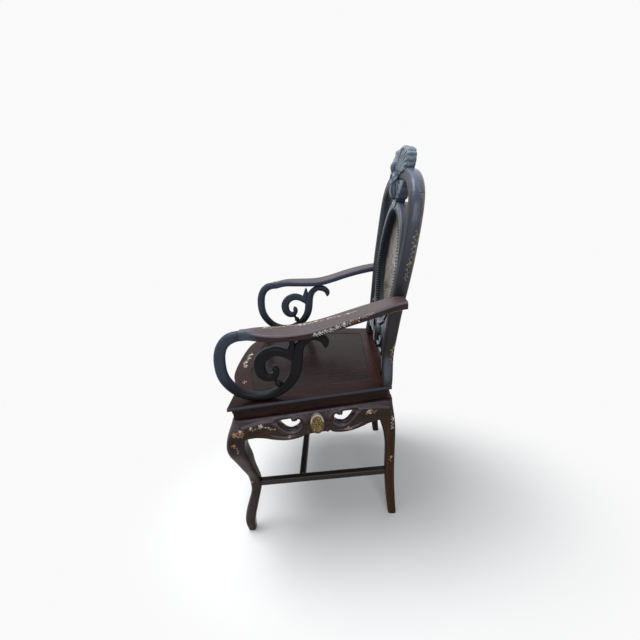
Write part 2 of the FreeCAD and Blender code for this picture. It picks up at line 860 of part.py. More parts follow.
def post():
    """The left post, drawn flat."""
    points = []
    widths = []
    depths = []
    for spread, height, width, thickness in post_shares:
        depth = thickness * post_thickness
        points.append(on_back(spread * post_half_spread, height * post_seam_height, depth / 2))
        widths.append(width * post_width)
        depths.append(depth)
    return limb(points, widths, depths, Vector(0, 1, 0), 0.5, {len(points) - 1: seam_direction()})


def arch():
    """The arched rail over the posts, drawn flat."""
    left_points = []
    left_widths = []
    for spread, climb, width in arch_shares:
        height = post_seam_height + climb * arch_rise
        left_points.append(on_back(spread * post_half_spread, height, post_thickness / 2))
        left_widths.append(width * post_width)
    right_points = [Vector(-point.x, point.y, point.z) for point in reversed(left_points[:-1])]
    widths = left_widths + left_widths[-2::-1]
    depths = [post_thickness] * len(widths)
    up = seam_direction()
    turns = {0: up, len(widths) - 1: Vector(up.x, up.y, -up.z)}
    return limb(left_points + right_points, widths, depths, Vector(0, 1, 0), 0.5, turns)


def oval_prism(half_width, half_height, rear, front):
    """An upright oval prism in the back, drawn flat, from distances before the rear of the oval frame."""
    centre = on_back(0, oval_centre_height, rear - oval_behind)
    wire = ellipse(centre, Vector(0, 0, 1), Vector(1, 0, 0), half_height, half_width)
    return prism(wire, Vector(0, rear - front, 0))


def oval_frame():
    """The deep oval frame with a rabbet for the stone at its rear."""
    body = oval_prism(oval_half_width, oval_half_height, 0, oval_thickness)
    body = body.makeFillet(oval_face / 4, body.Edges)
    opening = oval_prism(oval_inner_half_width, oval_inner_half_height, -overrun, oval_thickness + overrun)
    rabbet = oval_prism(oval_inner_half_width + oval_rabbet, oval_inner_half_height + oval_rabbet,
                        -overrun, panel_face)
    return body.cut(opening.fuse(rabbet))


def stone_panel():
    """The oval stone, held in the rabbet."""
    half_width = oval_inner_half_width + oval_rabbet - curved_gap
    half_height = oval_inner_half_height + oval_rabbet - curved_gap
    return oval_prism(half_width, half_height, panel_face - stone_thickness, panel_face)


def back_board():
    """The thin board that closes the rabbet behind the stone."""
    half_width = oval_inner_half_width + oval_rabbet - curved_gap
    half_height = oval_inner_half_height + oval_rabbet - curved_gap
    return oval_prism(half_width, half_height, 0, panel_face - stone_thickness)


def bead_border():
    """The ring of beads inside the mouth of the oval, drawn plain."""
    front = oval_thickness - bead_set_back
    outer = oval_prism(oval_inner_half_width - curved_gap, oval_inner_half_height - curved_gap,
                       front - bead_length, front)
    inner = oval_prism(oval_inner_half_width - bead_size, oval_inner_half_height - bead_size,
                       -overrun, oval_thickness + overrun)
    return outer.cut(inner)


def board(half_edges, thickness):
    """A symmetrical board of the back, drawn flat, from the edges of the left half of its rear face."""
    wire = closed_wire(both_halves(half_edges))
    return prism(wire, Vector(0, -thickness, 0))


# The carved crest: share of its half width, share of its height over the arch's middle
crest_edge_shares = (
    ((0.0, 1.0), (0.1, 0.99), (0.2, 0.94)),
    ((0.2, 0.94), (0.34, 0.97), (0.44, 0.87)),
    ((0.44, 0.87), (0.57, 0.9), (0.67, 0.78)),
    ((0.67, 0.78), (0.8, 0.79), (0.85, 0.66)),
    ((0.85, 0.66), (0.95, 0.62), (0.95, 0.5)),
    ((0.95, 0.5), (0.985, 0.42), (0.95, 0.34)),
    ((0.95, 0.34), (0.98, 0.25), (0.93, 0.17)),
    ((0.93, 0.17), (0.93, 0.06), (0.86, 0.02)),
    ((0.86, 0.02), (0.86, -0.3)),
    ((0.86, -0.3), (0.0, 0.0)),
)

# How the carving swells forward down the middle: share of the crest's rise, share of the relief
crest_bulge_shares = (
    (1.08, -0.8),
    (1.03, -0.5),
    (0.955, 0.0),
    (0.76, 0.25),
    (0.55, 0.47),
    (0.34, 0.97),
    (0.15, 1.0),
    (-0.2, 0.85),
    (-0.55, 0.8),
    (-0.75, 0.65),
    (-0.97, 0.1),
    (-1.05, -0.3),
)


def crest_bulge(relief):
    """The space behind the swelling face of the crest, at a share of its full relief, drawn flat."""
    face = []
    for up, swell in crest_bulge_shares:
        forward = post_thickness + crest_relief * (swell if swell < 0 else swell * relief)
        face.append(Vector(-seat_front_width, -forward, arch_centre_height + up * crest_rise))
    curve = Part.BSplineCurve()
    curve.interpolate(Points=face)
    edges = [curve.toShape()]
    low = Vector(-seat_front_width, 0, face[-1].z)
    high = Vector(-seat_front_width, 0, face[0].z)
    for start, end in ((face[-1], low), (low, high), (high, face[0])):
        edges.append(Part.makeLine(start, end))
    return prism(Part.Wire(edges), Vector(2 * seat_front_width, 0, 0))


# Leaves in front of the crest: place across and up, length and width as shares of the crest's rise,
# tilt in degrees, and relief as a share of the full relief
crest_leaf_shares = (
    (0.0, 0.02, 2.0, 0.75, 0, 1.0),
    (0.27, 0.36, 1.2, 0.5, 14, 0.75),
    (0.52, 0.32, 1.0, 0.45, 32, 0.5),
    (0.74, 0.25, 0.8, 0.4, 50, 0.3),
)


def crest():
    """The carved crest over the arch, drawn flat."""
    def at(across, up):
        return on_back(across * crest_half_width, arch_centre_height + up * crest_rise, crest_set_back)

    body = board(flat_outline(crest_edge_shares, at), crest_thickness)
    leaves = []
    for across, up, length, width, tilt, relief in crest_leaf_shares:
        for sign in (-1, 1) if across else (1,):
            x = sign * across * crest_half_width
            centre = on_back(x, arch_centre_height + up * crest_rise, post_thickness / 2)
            whole = leaf(centre, length * crest_rise, width * crest_rise, sign * tilt, overrun)
            leaves.append(whole.common(crest_bulge(relief)))
    return body.common(crest_bulge(0)), leaves


def leaf(centre, length, width, tilt, relief):
    """A pointed leaf in relief, from two arcs, drawn flat; its centre lies on its rear face."""
    half_length = length / 2
    half_width = width / 2
    tip = Vector(0, 0, half_length)
    foot = Vector(0, 0, -half_length)
    right = Part.Arc(foot, Vector(half_width, 0, 0), tip).toShape()
    left = Part.Arc(tip, Vector(-half_width, 0, 0), foot).toShape()
    shape = prism(Part.Wire([right, left]), Vector(0, -relief, 0))
    return turned(shape, Vector(0, 1, 0), tilt, centre)


# The pendant between the arch and the oval: share of its half width and share of the fall
pendant_edge_shares = (
    ((0.0, 0.0), (1.0, -0.02)),
    ((1.05, 0.25), (0.98, 0.42), (0.86, 0.5)),
    ((0.84, 0.62), (0.75, 0.74), (0.62, 0.72)),
    ((0.58, 0.86), (0.46, 0.93), (0.36, 0.84)),
    ((0.3, 1.0), (0.15, 1.25), (0.0, 1.25)),
)


def pendant():
    """The hanging leaf work that ties the oval to the arch, drawn flat."""
    set_back = (post_thickness - pendant_thickness) / 2

    def at(across, down):
        return on_back(across * pendant_half_width, arch_centre_height - down * pendant_fall, set_back)

    return board(flat_outline(pendant_edge_shares, at), pendant_thickness)


# The carved rail under the oval: share of the posts' spread and share of the height to the oval's middle
carving_edge_shares = (
    ((0.0, 0.085), (0.07, 0.08), (0.15, 0.1), (0.2, 0.135)),
    ((0.4, 0.17), (0.62, 0.17), (0.78, 0.13), (0.86, 0.0)),
    ((0.86, 0.0), (1.0, 0.0)),
    ((1.0, 0.0), (0.97, 0.2), (0.95, 0.4), (0.92, 0.5)),
    ((0.86, 0.53), (0.78, 0.61), (0.7, 0.56)),
    ((0.66, 0.6), (0.6, 0.64), (0.5, 0.6)),
    ((0.5, 0.6), (0.0, 0.6)),
)
carving_eye_shares = (
    ((0.24, 0.34), (0.3, 0.26), (0.42, 0.245), (0.55, 0.3), (0.58, 0.37)),
    ((0.5, 0.35), (0.4, 0.38), (0.36, 0.43)),
    ((0.32, 0.42), (0.26, 0.4), (0.24, 0.34)),
)
carving_wing_eye_shares = (
    ((0.66, 0.24), (0.74, 0.22), (0.82, 0.26), (0.84, 0.34)),
    ((0.82, 0.42), (0.76, 0.46), (0.7, 0.44)),
    ((0.7, 0.36), (0.69, 0.3), (0.66, 0.24)),
)


def lower_carving():
    """The pierced rail between the posts under the oval, drawn flat."""
    set_back = (post_thickness - carving_thickness) / 3

    def at(across, up):
        return on_back(across * post_half_spread, up * oval_centre_height, set_back)

    def before(across, up):
        return at(across, up) + Vector(0, overrun, 0)

    body = board(flat_outline(carving_edge_shares, at), carving_thickness)
    for eye_shares in (carving_eye_shares, carving_wing_eye_shares):
        eye = prism(closed_wire(flat_outline(eye_shares, before)), Vector(0, -2 * overrun, 0))
        body = body.cut([eye, mirrored(eye)])
    return body


def spacer():
    """The left block between the oval and the post, drawn flat."""
    inner = oval_half_width - oval_face / 2
    outer = post_half_spread
    size = Vector(outer - inner, spacer_thickness, spacer_height)
    return block(on_back((inner + outer) / 2, spacer_centre_height, post_thickness * 0.4), size)


# Arms

def arm_plane(y, height):
    """How far out the loop of the left arm stands at a depth and a height over the seat."""
    return loop_plane_x + loop_flare * height - loop_toe_in * (y - seat_rear_y + loop_plane_reach)


def arm_point(back, up):
    """A point of the loop, from shares of its length and height."""
    y = seat_rear_y - loop_reach + back * loop_length
    height = up * loop_height
    return Vector(arm_plane(y, height), y, seat_height + height)


def arm_limb(shares, depth, round_share):
    """A scrolled bar in the plane of the left arm."""
    points = [arm_point(back, up) for back, up, width in shares]
    widths = [width * loop_bar for back, up, width in shares]
    depths = [min(depth, 1.6 * width) for width in widths]
    return limb(points, widths, depths, Vector(1, loop_toe_in, -loop_flare).normalize(), round_share, {})


def armrest():
    """The broad left armrest, which narrows in front to meet the loop."""
    sections = []
    length = arm_rear_y - arm_front_y
    for back, inner, outer, rise, thickness in arm_shares:
        y = arm_front_y + back * length
        start_x = arm_inner_x + (1 - back) * arm_shift
        inner_x = start_x + inner * arm_outer_spread
        outer_x = start_x + outer * arm_outer_spread
        top = seat_height + arm_height + rise * arm_rise
        depth = thickness * arm_thickness
        centre = Vector((inner_x + outer_x) / 2, y, top - depth / 2)
        width = outer_x - inner_x
        radius = min(arm_corner_round * thickness, 0.45 * depth)
        sections.append(rounded_section(centre, Vector(1, 0, 0), Vector(0, 0, 1), width, depth, radius))
    return Part.makeLoft(sections, True, False)


def seat_nodes(nodes):
    """The seat frame, its panel, the battens and the waist."""
    front, rear, left = seat_rails()
    mortises = [mortise for body, mortise in (batten(-1), batten(1))]
    front = front.cut(mortises)
    rear = rear.cut(mortises)
    socket = front_tenon(joint_clearance)
    front = front.cut([socket, mirrored(socket)])
    left = left.cut(socket)
    socket = post_tenon(joint_clearance)
    rear = rear.cut([socket, mirrored(socket)])
    left = left.cut([socket, dowel(joint_clearance)])
    nodes["seat_front_rail"] = front
    nodes["seat_rear_rail"] = rear
    nodes["seat_left_rail"] = left
    nodes["seat_panel"] = seat_panel()
    nodes["seat_batten_left"] = batten(1)[0]
    nodes["seat_batten_right"] = batten(-1)[0]
    waist_front, waist_rear, waist_left = waist_boards()
    nodes["waist_front"] = waist_front
    nodes["waist_rear"] = waist_rear.cut([socket, mirrored(socket)])
    nodes["waist_left"] = waist_left


def apron_tenons(clearance):
    """Tenons of the side apron, front and rear, then of the front and of the rear apron."""
    size = Vector(apron_tenon_thickness, 2 * apron_tenon_length, apron_tenon_height)
    turned_size = Vector(size.y, size.x, size.z)
    height = shoulder_height - apron_tenon_height
    inset = apron_top_inset + apron_thickness / 4
    into_leg = waist_inset + waist_thickness + leg_block / 4
    front_y = seat_front_y + into_leg + apron_tenon_length
    rear_y = seat_rear_y - into_leg - apron_tenon_length
    front_x = seat_half_front - into_leg - apron_tenon_length
    rear_x = seat_half_rear - into_leg - apron_tenon_length
    centres = (
        (Vector(side_x(front_y, inset), front_y, height), size),
        (Vector(side_x(rear_y, inset), rear_y, height), size),
        (Vector(front_x, seat_front_y + inset, height), turned_size),
        (Vector(rear_x, seat_rear_y - inset - apron_thickness / 4, height), turned_size),
    )
    extra = Vector(1, 1, 1) * (2 * clearance)
    return [block(centre, tenon_size + extra) for centre, tenon_size in centres]


def largest(shape):
    """The sawn board without the crumbs that fall off at its ends."""
    return max(shape.Solids, key=lambda solid: solid.Volume)


def leg_nodes(nodes):
    """Legs, aprons with their medallions, and the stretchers."""
    front = front_leg()
    rear = rear_leg()
    tenons = apron_tenons(0)
    side = largest(side_apron().cut([front, rear])).fuse(tenons[:2])
    ahead = largest(front_apron().cut([front, mirrored(front)])).fuse([tenons[2], mirrored(tenons[2])])
    behind = largest(rear_apron().cut([rear, mirrored(rear)])).fuse([tenons[3], mirrored(tenons[3])])
    start, end = stretcher_ends()
    along = (end - start).normalize()
    side_bar = bar(start, end, stretcher_width, stretcher_width / 4).cut([front, rear])
    side_tenon = bar(start, end, stretcher_tenon, stretcher_tenon / 8)
    reach = along * joint_clearance
    side_socket = bar(start - reach, end + reach, stretcher_tenon + 2 * joint_clearance, stretcher_tenon / 8)
    cross_y = seat_front_y + cross_stretcher_from_front
    crossing = start + along * ((cross_y - start.y) / along.y)
    far_crossing = Vector(-crossing.x, crossing.y, crossing.z)
    side_whole = side_bar.fuse(side_tenon)
    cross_bar = bar(far_crossing, crossing, stretcher_width, stretcher_width / 4)
    cross_bar = cross_bar.cut([side_whole, mirrored(side_whole)])
    cross_tenon = bar(far_crossing, crossing, stretcher_tenon, stretcher_tenon / 8)
    aside = Vector(joint_clearance, 0, 0)
    cross_socket = bar(far_crossing - aside, crossing + aside, stretcher_tenon + 2 * joint_clearance,
                       stretcher_tenon / 8)
    sockets = apron_tenons(joint_clearance)
    nodes["front_leg_left"] = front.cut([sockets[0], sockets[2], side_socket])
    nodes["rear_leg_left"] = rear.cut([sockets[1], sockets[3], side_socket, post_tenon(joint_clearance)])
    nodes["apron_left"] = side
    nodes["apron_front"] = ahead
    nodes["apron_rear"] = behind
    nodes["side_stretcher_left"] = side_whole.cut(cross_socket)
    nodes["cross_stretcher"] = cross_bar.fuse(cross_tenon)
    middle = side_apron_middle()[0]
    bulge = apron_inset(medallion_share)
    outward = Vector(math.cos(side_angle), math.sin(side_angle), 0)
    across = Vector(-math.sin(side_angle), math.cos(side_angle), 0)
    height = shoulder_height - medallion_drop
    boss, rim = medallion(Vector(side_x(middle, bulge), middle, height), outward, across)
    nodes["medallion_left"] = boss.cut(side)
    nodes["medallion_rim_left"] = rim.cut(side)
    face = Vector(0, seat_front_y - seat_bow + bulge, height)
    boss, rim = medallion(face, Vector(0, -1, 0), Vector(1, 0, 0))
    nodes["medallion_front"] = boss.cut(ahead)
    nodes["medallion_rim_front"] = rim.cut(ahead)


def post_tenon(clearance):
    """The tenon of a back post through the seat and into the rear leg."""
    length = post_tenon_length + clearance
    size = Vector(post_tenon_width + 2 * clearance, post_tenon_depth + 2 * clearance, length)
    x = seat_half_rear - post_tenon_from_corner
    return block(Vector(x, seat_rear_y - post_tenon_from_rear, seat_height - length / 2), size)


def seam_tongue(clearance):
    """The tongue that joins a post to the arch, drawn flat."""
    along = seam_direction()
    seam = on_back(arch_shares[0][0] * post_half_spread, post_seam_height, post_thickness / 2)
    reach = along * (arch_tongue_length / 2 + clearance)
    size = arch_tongue_width + 2 * clearance
    deep = Vector(0, 1, 0)
    wide = deep.cross(along)
    places = (seam - reach, seam + reach)
    ends = [rounded_section(place, wide, deep, size, size, size / 8) for place in places]
    return Part.makeLoft(ends, True, True)


def under_seat_top():
    """Everything below the top of the seat."""
    size = Vector(2 * seat_front_width, 2 * overall_depth, seat_height)
    return block(Vector(0, 0, seat_height / 2), size)


def back_nodes(nodes):
    """Posts, arch, oval frame with its stone, and the carved pieces that hold it."""
    left_post = post()
    rail = arch()
    frame = oval_frame()
    posts = [left_post, mirrored(left_post)]
    crest_body, leaves = crest()
    top = crest_body.fuse(leaves).cut(rail).removeSplitter()
    hanging = pendant().cut([rail, frame, top])
    low = lower_carving().cut(posts + [frame])
    side_block = spacer().cut([left_post, frame])
    tongue = seam_tongue(0)
    socket = seam_tongue(joint_clearance)
    ground = under_seat_top()
    nodes["back_post_left"] = leaned(left_post.fuse(tongue)).cut(ground).fuse(post_tenon(0))
    nodes["back_arch"] = leaned(rail.cut([socket, mirrored(socket)]))
    nodes["crest_carving"] = leaned(largest(top))
    nodes["crest_pendant"] = leaned(largest(hanging))
    nodes["lower_carving"] = leaned(largest(low)).cut(ground)
    nodes["oval_frame"] = leaned(frame)
    nodes["oval_spacer_left"] = leaned(largest(side_block))
    nodes["bead_border"] = leaned(bead_border())
    nodes["stone_panel"] = leaned(stone_panel())
    nodes["stone_back_board"] = leaned(back_board())


def dowel(clearance):
    """The dowel that pins the loop of the left arm to the seat."""
    x = arm_plane(dowel_y, 0)
    low = Vector(x, dowel_y, seat_height - dowel_length / 2 - clearance)
    return Part.makeCylinder(dowel_radius + clearance, dowel_length + 2 * clearance, low)


def arm_tenon(clearance):
    """The tenon of the left armrest in the side of the back post."""
    height = seat_height + arm_joint_height
    y = seat_rear_y + (height - seat_height) * math.tan(lean_radians) - post_thickness * 0.45
    size = Vector(2 * arm_tenon_length, arm_tenon_width, arm_tenon_height) + Vector(1, 1, 1) * (2 * clearance)
    return block(Vector(arm_inner_x, y, height), size)


def loop_tenon_pin(clearance):
    """The round tenon of the loop in the front end of the armrest."""
    start = arm_point(loop_shares[0][0], loop_shares[0][1]) - Vector(0, loop_tenon_length / 3, 0)
    length = loop_tenon_length * 4 / 3 + clearance
    return Part.makeCylinder(loop_tenon / 2 + clearance, length, start, Vector(0, 1, 0))


def ball():
    """The ball at the tip of the scroll."""
    return Part.makeSphere(ball_radius, arm_point(*ball_shares))


def arm_nodes(nodes):
    """Armrest, loop, inner scroll and dowel of the left arm."""
    left_post = nodes["back_post_left"]
    rest = armrest().cut(left_post)
    loop = largest(arm_limb(loop_shares, loop_depth, 0.85).cut([rest, under_seat_top()]))
    scroll = arm_limb(scroll_shares, scroll_depth, 0.8)
    finial = arm_limb(finial_shares, scroll_depth, 0.8)
    neck = arm_limb(neck_shares, scroll_depth, 0.8)
    carved = scroll.fuse([finial, neck, ball()]).cut(loop)
    nodes["armrest_left"] = largest(rest).fuse(arm_tenon(0)).cut(loop_tenon_pin(joint_clearance))
    nodes["arm_loop_left"] = loop.fuse(loop_tenon_pin(0)).cut(dowel(joint_clearance))
    nodes["arm_scroll_left"] = largest(carved)
    nodes["arm_dowel_left"] = dowel(0)
    nodes["back_post_left"] = left_post.cut(arm_tenon(joint_clearance))


def right_side(nodes):
    """Mirror every left piece for the right."""
    for name in [name for name in nodes if name.endswith("_left") and name != "seat_batten_left"]:
        nodes[name.replace("_left", "_right")] = mirrored(nodes[name])
    nodes["seat_right_rail"] = mirrored(nodes["seat_left_rail"])


def export(nodes):
    """Write every node to its own file."""
    os.makedirs("parts", exist_ok=True)
    for name, shape in nodes.items():
        solids = shape.Solids
        whole = solids[0] if len(solids) == 1 else shape
        whole.exportStep("parts/" + name + ".step")
        print(name, len(solids), whole.isValid(), round(whole.Volume))


def main():
    """Build every piece in its place and write it out."""
    nodes = {}
    seat_nodes(nodes)
    leg_nodes(nodes)
    back_nodes(nodes)
    arm_nodes(nodes)
    right_side(nodes)
    export(nodes)


main()
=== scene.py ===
import logging
import math
from collections.abc import Callable, Iterable, Mapping, Sequence
from dataclasses import dataclass
from enum import Enum

import bpy
from mathutils import Matrix, Vector
from mathutils.bvhtree import BVHTree

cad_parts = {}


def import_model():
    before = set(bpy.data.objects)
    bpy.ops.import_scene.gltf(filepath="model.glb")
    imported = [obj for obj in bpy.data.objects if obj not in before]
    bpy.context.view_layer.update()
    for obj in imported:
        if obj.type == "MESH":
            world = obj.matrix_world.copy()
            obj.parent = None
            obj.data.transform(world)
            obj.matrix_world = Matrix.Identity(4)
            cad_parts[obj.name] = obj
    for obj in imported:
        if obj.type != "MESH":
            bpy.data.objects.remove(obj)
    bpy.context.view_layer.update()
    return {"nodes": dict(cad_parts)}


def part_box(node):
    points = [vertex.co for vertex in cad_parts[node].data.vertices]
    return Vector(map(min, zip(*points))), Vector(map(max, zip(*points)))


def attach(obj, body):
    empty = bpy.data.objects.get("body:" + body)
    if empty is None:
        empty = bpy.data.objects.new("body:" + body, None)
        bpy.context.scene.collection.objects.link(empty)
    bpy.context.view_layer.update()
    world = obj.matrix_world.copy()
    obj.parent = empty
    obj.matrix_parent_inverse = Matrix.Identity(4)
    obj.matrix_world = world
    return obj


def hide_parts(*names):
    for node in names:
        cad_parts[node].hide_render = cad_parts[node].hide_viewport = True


LOG = logging.getLogger("armchair")
MM = 0.001
LEAN = math.radians(8.6)
SEAT_REAR = 199.985
SEAT_HEIGHT = 480.0
SEAM_ACROSS, SEAM_UP, SEAM_REACH = 0.481, 0.877, 0.323
Point = tuple[float, float, float]
Flat = tuple[float, float]
Colour = tuple[float, float, float, float]


def paint(red: int, green: int, blue: int) -> Colour:
    """Turn a colour as it looks on a screen into the linear one that a shader takes.

    Args:
        red: Red, 0 to 255.
        green: Green, 0 to 255.
        blue: Blue, 0 to 255.

    Returns:
        The linear colour with full opacity.
    """
    linear = []
    for part in (red, green, blue):
        share = part / 255
        linear.append(share / 12.92 if share <= 0.04045 else ((share + 0.055) / 1.055) ** 2.4)
    return linear[0], linear[1], linear[2], 1.0


class Signal:
    """One output of a shader node; the usual signs on it add Math nodes."""

    def __init__(self, graph: "Graph", socket: bpy.types.NodeSocket) -> None:
        """Keep the socket and the graph it belongs to."""
        self.graph = graph
        self.socket = socket

    def _math(self, operation: str, *values: "Signal | float") -> "Signal":
        """Add one Math node on these values."""
        return self.graph.node("Math", {"operation": operation}, dict(enumerate(values)))

    def __add__(self, other: "Signal | float") -> "Signal":
        """Sum."""
        return self._math("ADD", self, other)

    __radd__ = __add__

    def __sub__(self, other: "Signal | float") -> "Signal":
        """Difference."""
        return self._math("SUBTRACT", self, other)

    def __rsub__(self, other: float) -> "Signal":
        """Difference from a number."""
        return self._math("SUBTRACT", other, self)

    def __mul__(self, other: "Signal | float") -> "Signal":
        """Product."""
        return self._math("MULTIPLY", self, other)

    __rmul__ = __mul__

    def __truediv__(self, other: "Signal | float") -> "Signal":
        """Quotient."""
        return self._math("DIVIDE", self, other)

    def most(self, other: "Signal | float") -> "Signal":
        """The larger of the two."""
        return self._math("MAXIMUM", self, other)

    def rise(self, low: float, high: float) -> "Signal":
        """A soft step from 0 at low to 1 at high; it falls where high is below low."""
        return self.graph.node(
            "MapRange",
            {"interpolation_type": "SMOOTHSTEP"},
            {"Value": self, "From Min": low, "From Max": high},
        )


class Graph:
    """The node tree of one material or of the world."""

    def __init__(self, name: str, world: bool = False) -> None:
        """Start an empty tree, in a new material or in a new world.

        Args:
            name: The owner's name.
            world: Whether the owner is a world.
        """
        self.owner = (bpy.data.worlds if world else bpy.data.materials).new(name)
        self.owner.use_nodes = True
        self.tree = self.owner.node_tree
        self.tree.nodes.clear()

    def node(
        self,
        kind: str,
        settings: Mapping[str, object] | None = None,
        sockets: Mapping[str | int, object] | None = None,
        output: str | int = 0,
    ) -> Signal:
        """Add a node.

        Args:
            kind: The node's type without its ShaderNode prefix.
            settings: Its properties, set first; "stops" are a ramp's positions and colours.
            sockets: Values or signals for its inputs, by name or number.
            output: The output that is returned, by name or number.

        Returns:
            The chosen output.
        """
        made = self.tree.nodes.new("ShaderNode" + kind)
        for name, value in (settings or {}).items():
            if name == "stops":
                self._fill(made.color_ramp, value)
            else:
                setattr(made, name, value)
        for name, value in (sockets or {}).items():
            if isinstance(value, Signal):
                self.tree.links.new(value.socket, made.inputs[name])
            else:
                made.inputs[name].default_value = value
        return Signal(self, made.outputs[output])

    @staticmethod
    def _fill(ramp: bpy.types.ColorRamp, stops: Sequence[tuple[float, Colour]]) -> None:
        """Give a ramp its stops.

        Args:
            ramp: The ramp.
            stops: Places and colours along it.
        """
        while len(ramp.elements) < len(stops):
            ramp.elements.new(1.0)
        for element, (place, colour) in zip(ramp.elements, stops):
            element.position = place
            element.color = colour

    def mix(self, share: "Signal | float", first: "Signal | Colour", second: "Signal | Colour") -> Signal:
        """Mix two colours by a share."""
        return self.node("Mix", {"data_type": "RGBA"}, {0: share, 6: first, 7: second}, 2)

    def noise(self, space: Signal, scale: float, detail: float = 3.0, warp: float = 0.0) -> Signal:
        """A noise value between 0 and 1."""
        sockets = {"Vector": space, "Scale": scale, "Detail": detail, "Distortion": warp}
        return self.node("TexNoise", {}, sockets, "Fac")

    def parts(self, vector: Signal) -> tuple[Signal, Signal, Signal]:
        """The three parts of a vector.

        Args:
            vector: The vector.

        Returns:
            Its parts along x, y and z.
        """
        made = self.tree.nodes.new("ShaderNodeSeparateXYZ")
        self.tree.links.new(vector.socket, made.inputs[0])
        return tuple(Signal(self, socket) for socket in made.outputs)

    def place(self) -> Signal:
        """Object coordinates, in metres."""
        return self.node("TexCoord", output="Object")

    def edges(self, radius: float) -> Signal:
        """How much the surface turns within a radius: 0 on flats, up to 1 on arrises and in corners."""
        soft = self.node("Bevel", {"samples": 6}, {"Radius": radius})
        return 1 - self.node("VectorMath", {"operation": "DOT_PRODUCT"}, {0: soft, 1: self.normal()}, "Value")

    def openness(self, reach: float, samples: int) -> Signal:
        """How open the air over a surface is within a reach: 1 in the open, less in hollows."""
        return self.node("AmbientOcclusion", {"samples": samples}, {"Distance": reach}, "AO")

    def facing_up(self) -> Signal:
        """How far a surface faces upwards, from -1 to 1."""
        return self.parts(self.normal())[2]

    def bump(self, height: Signal, strength: float, distance: float, round_over: float = 0.0) -> Signal:
        """A bump from a height, on arrises that look rounded over by a radius.

        Args:
            height: The height.
            strength: How strongly it shows.
            distance: What a height of one stands for, in metres.
            round_over: The radius, in metres.

        Returns:
            The normal.
        """
        sockets = {"Height": height, "Strength": strength, "Distance": distance}
        if round_over:
            sockets["Normal"] = self.node("Bevel", {"samples": 8}, {"Radius": round_over})
        return self.node("Bump", {}, sockets)

    def along(self, vector: Signal, way: Point) -> Signal:
        """How far a vector reaches along a way."""
        return self.node("VectorMath", {"operation": "DOT_PRODUCT"}, {0: vector, 1: way}, "Value")

    def size(self, number: Signal) -> Signal:
        """A number without its sign."""
        return self.node("Math", {"operation": "ABSOLUTE"}, {0: number})

    def normal(self) -> Signal:
        """The way the surface faces."""
        return self.node("NewGeometry", output="Normal")

    def finish(self, sockets: Mapping[str, object]) -> bpy.types.Material:
        """Close the tree with one Principled shader.

        Args:
            sockets: Its inputs.

        Returns:
            The material.
        """
        self.close(self.node("BsdfPrincipled", {}, sockets))
        return self.owner

    def close(self, shader: Signal, kind: str = "Material") -> None:
        """Link a shader to the output of the material or the world."""
        made = self.tree.nodes.new("ShaderNodeOutput" + kind)
        self.tree.links.new(shader.socket, made.inputs["Surface"])

    def seen(self) -> Signal:
        """1 for what is seen, itself, in a reflection or through glass; 0 for what only casts light.

        Returns:
            The share, 0 or 1.
        """
        path = self.tree.nodes.new("ShaderNodeLightPath")
        rays = ("Is Camera Ray", "Is Glossy Ray", "Is Transmission Ray")
        eye, gloss, glass = (Signal(self, path.outputs[name]) for name in rays)
        return eye.most(gloss).most(glass)


class Grain(Enum):
    """The way the long fibres of a board run."""

    ACROSS = 0
    FORE_AND_AFT = 1
    UPRIGHT = 2


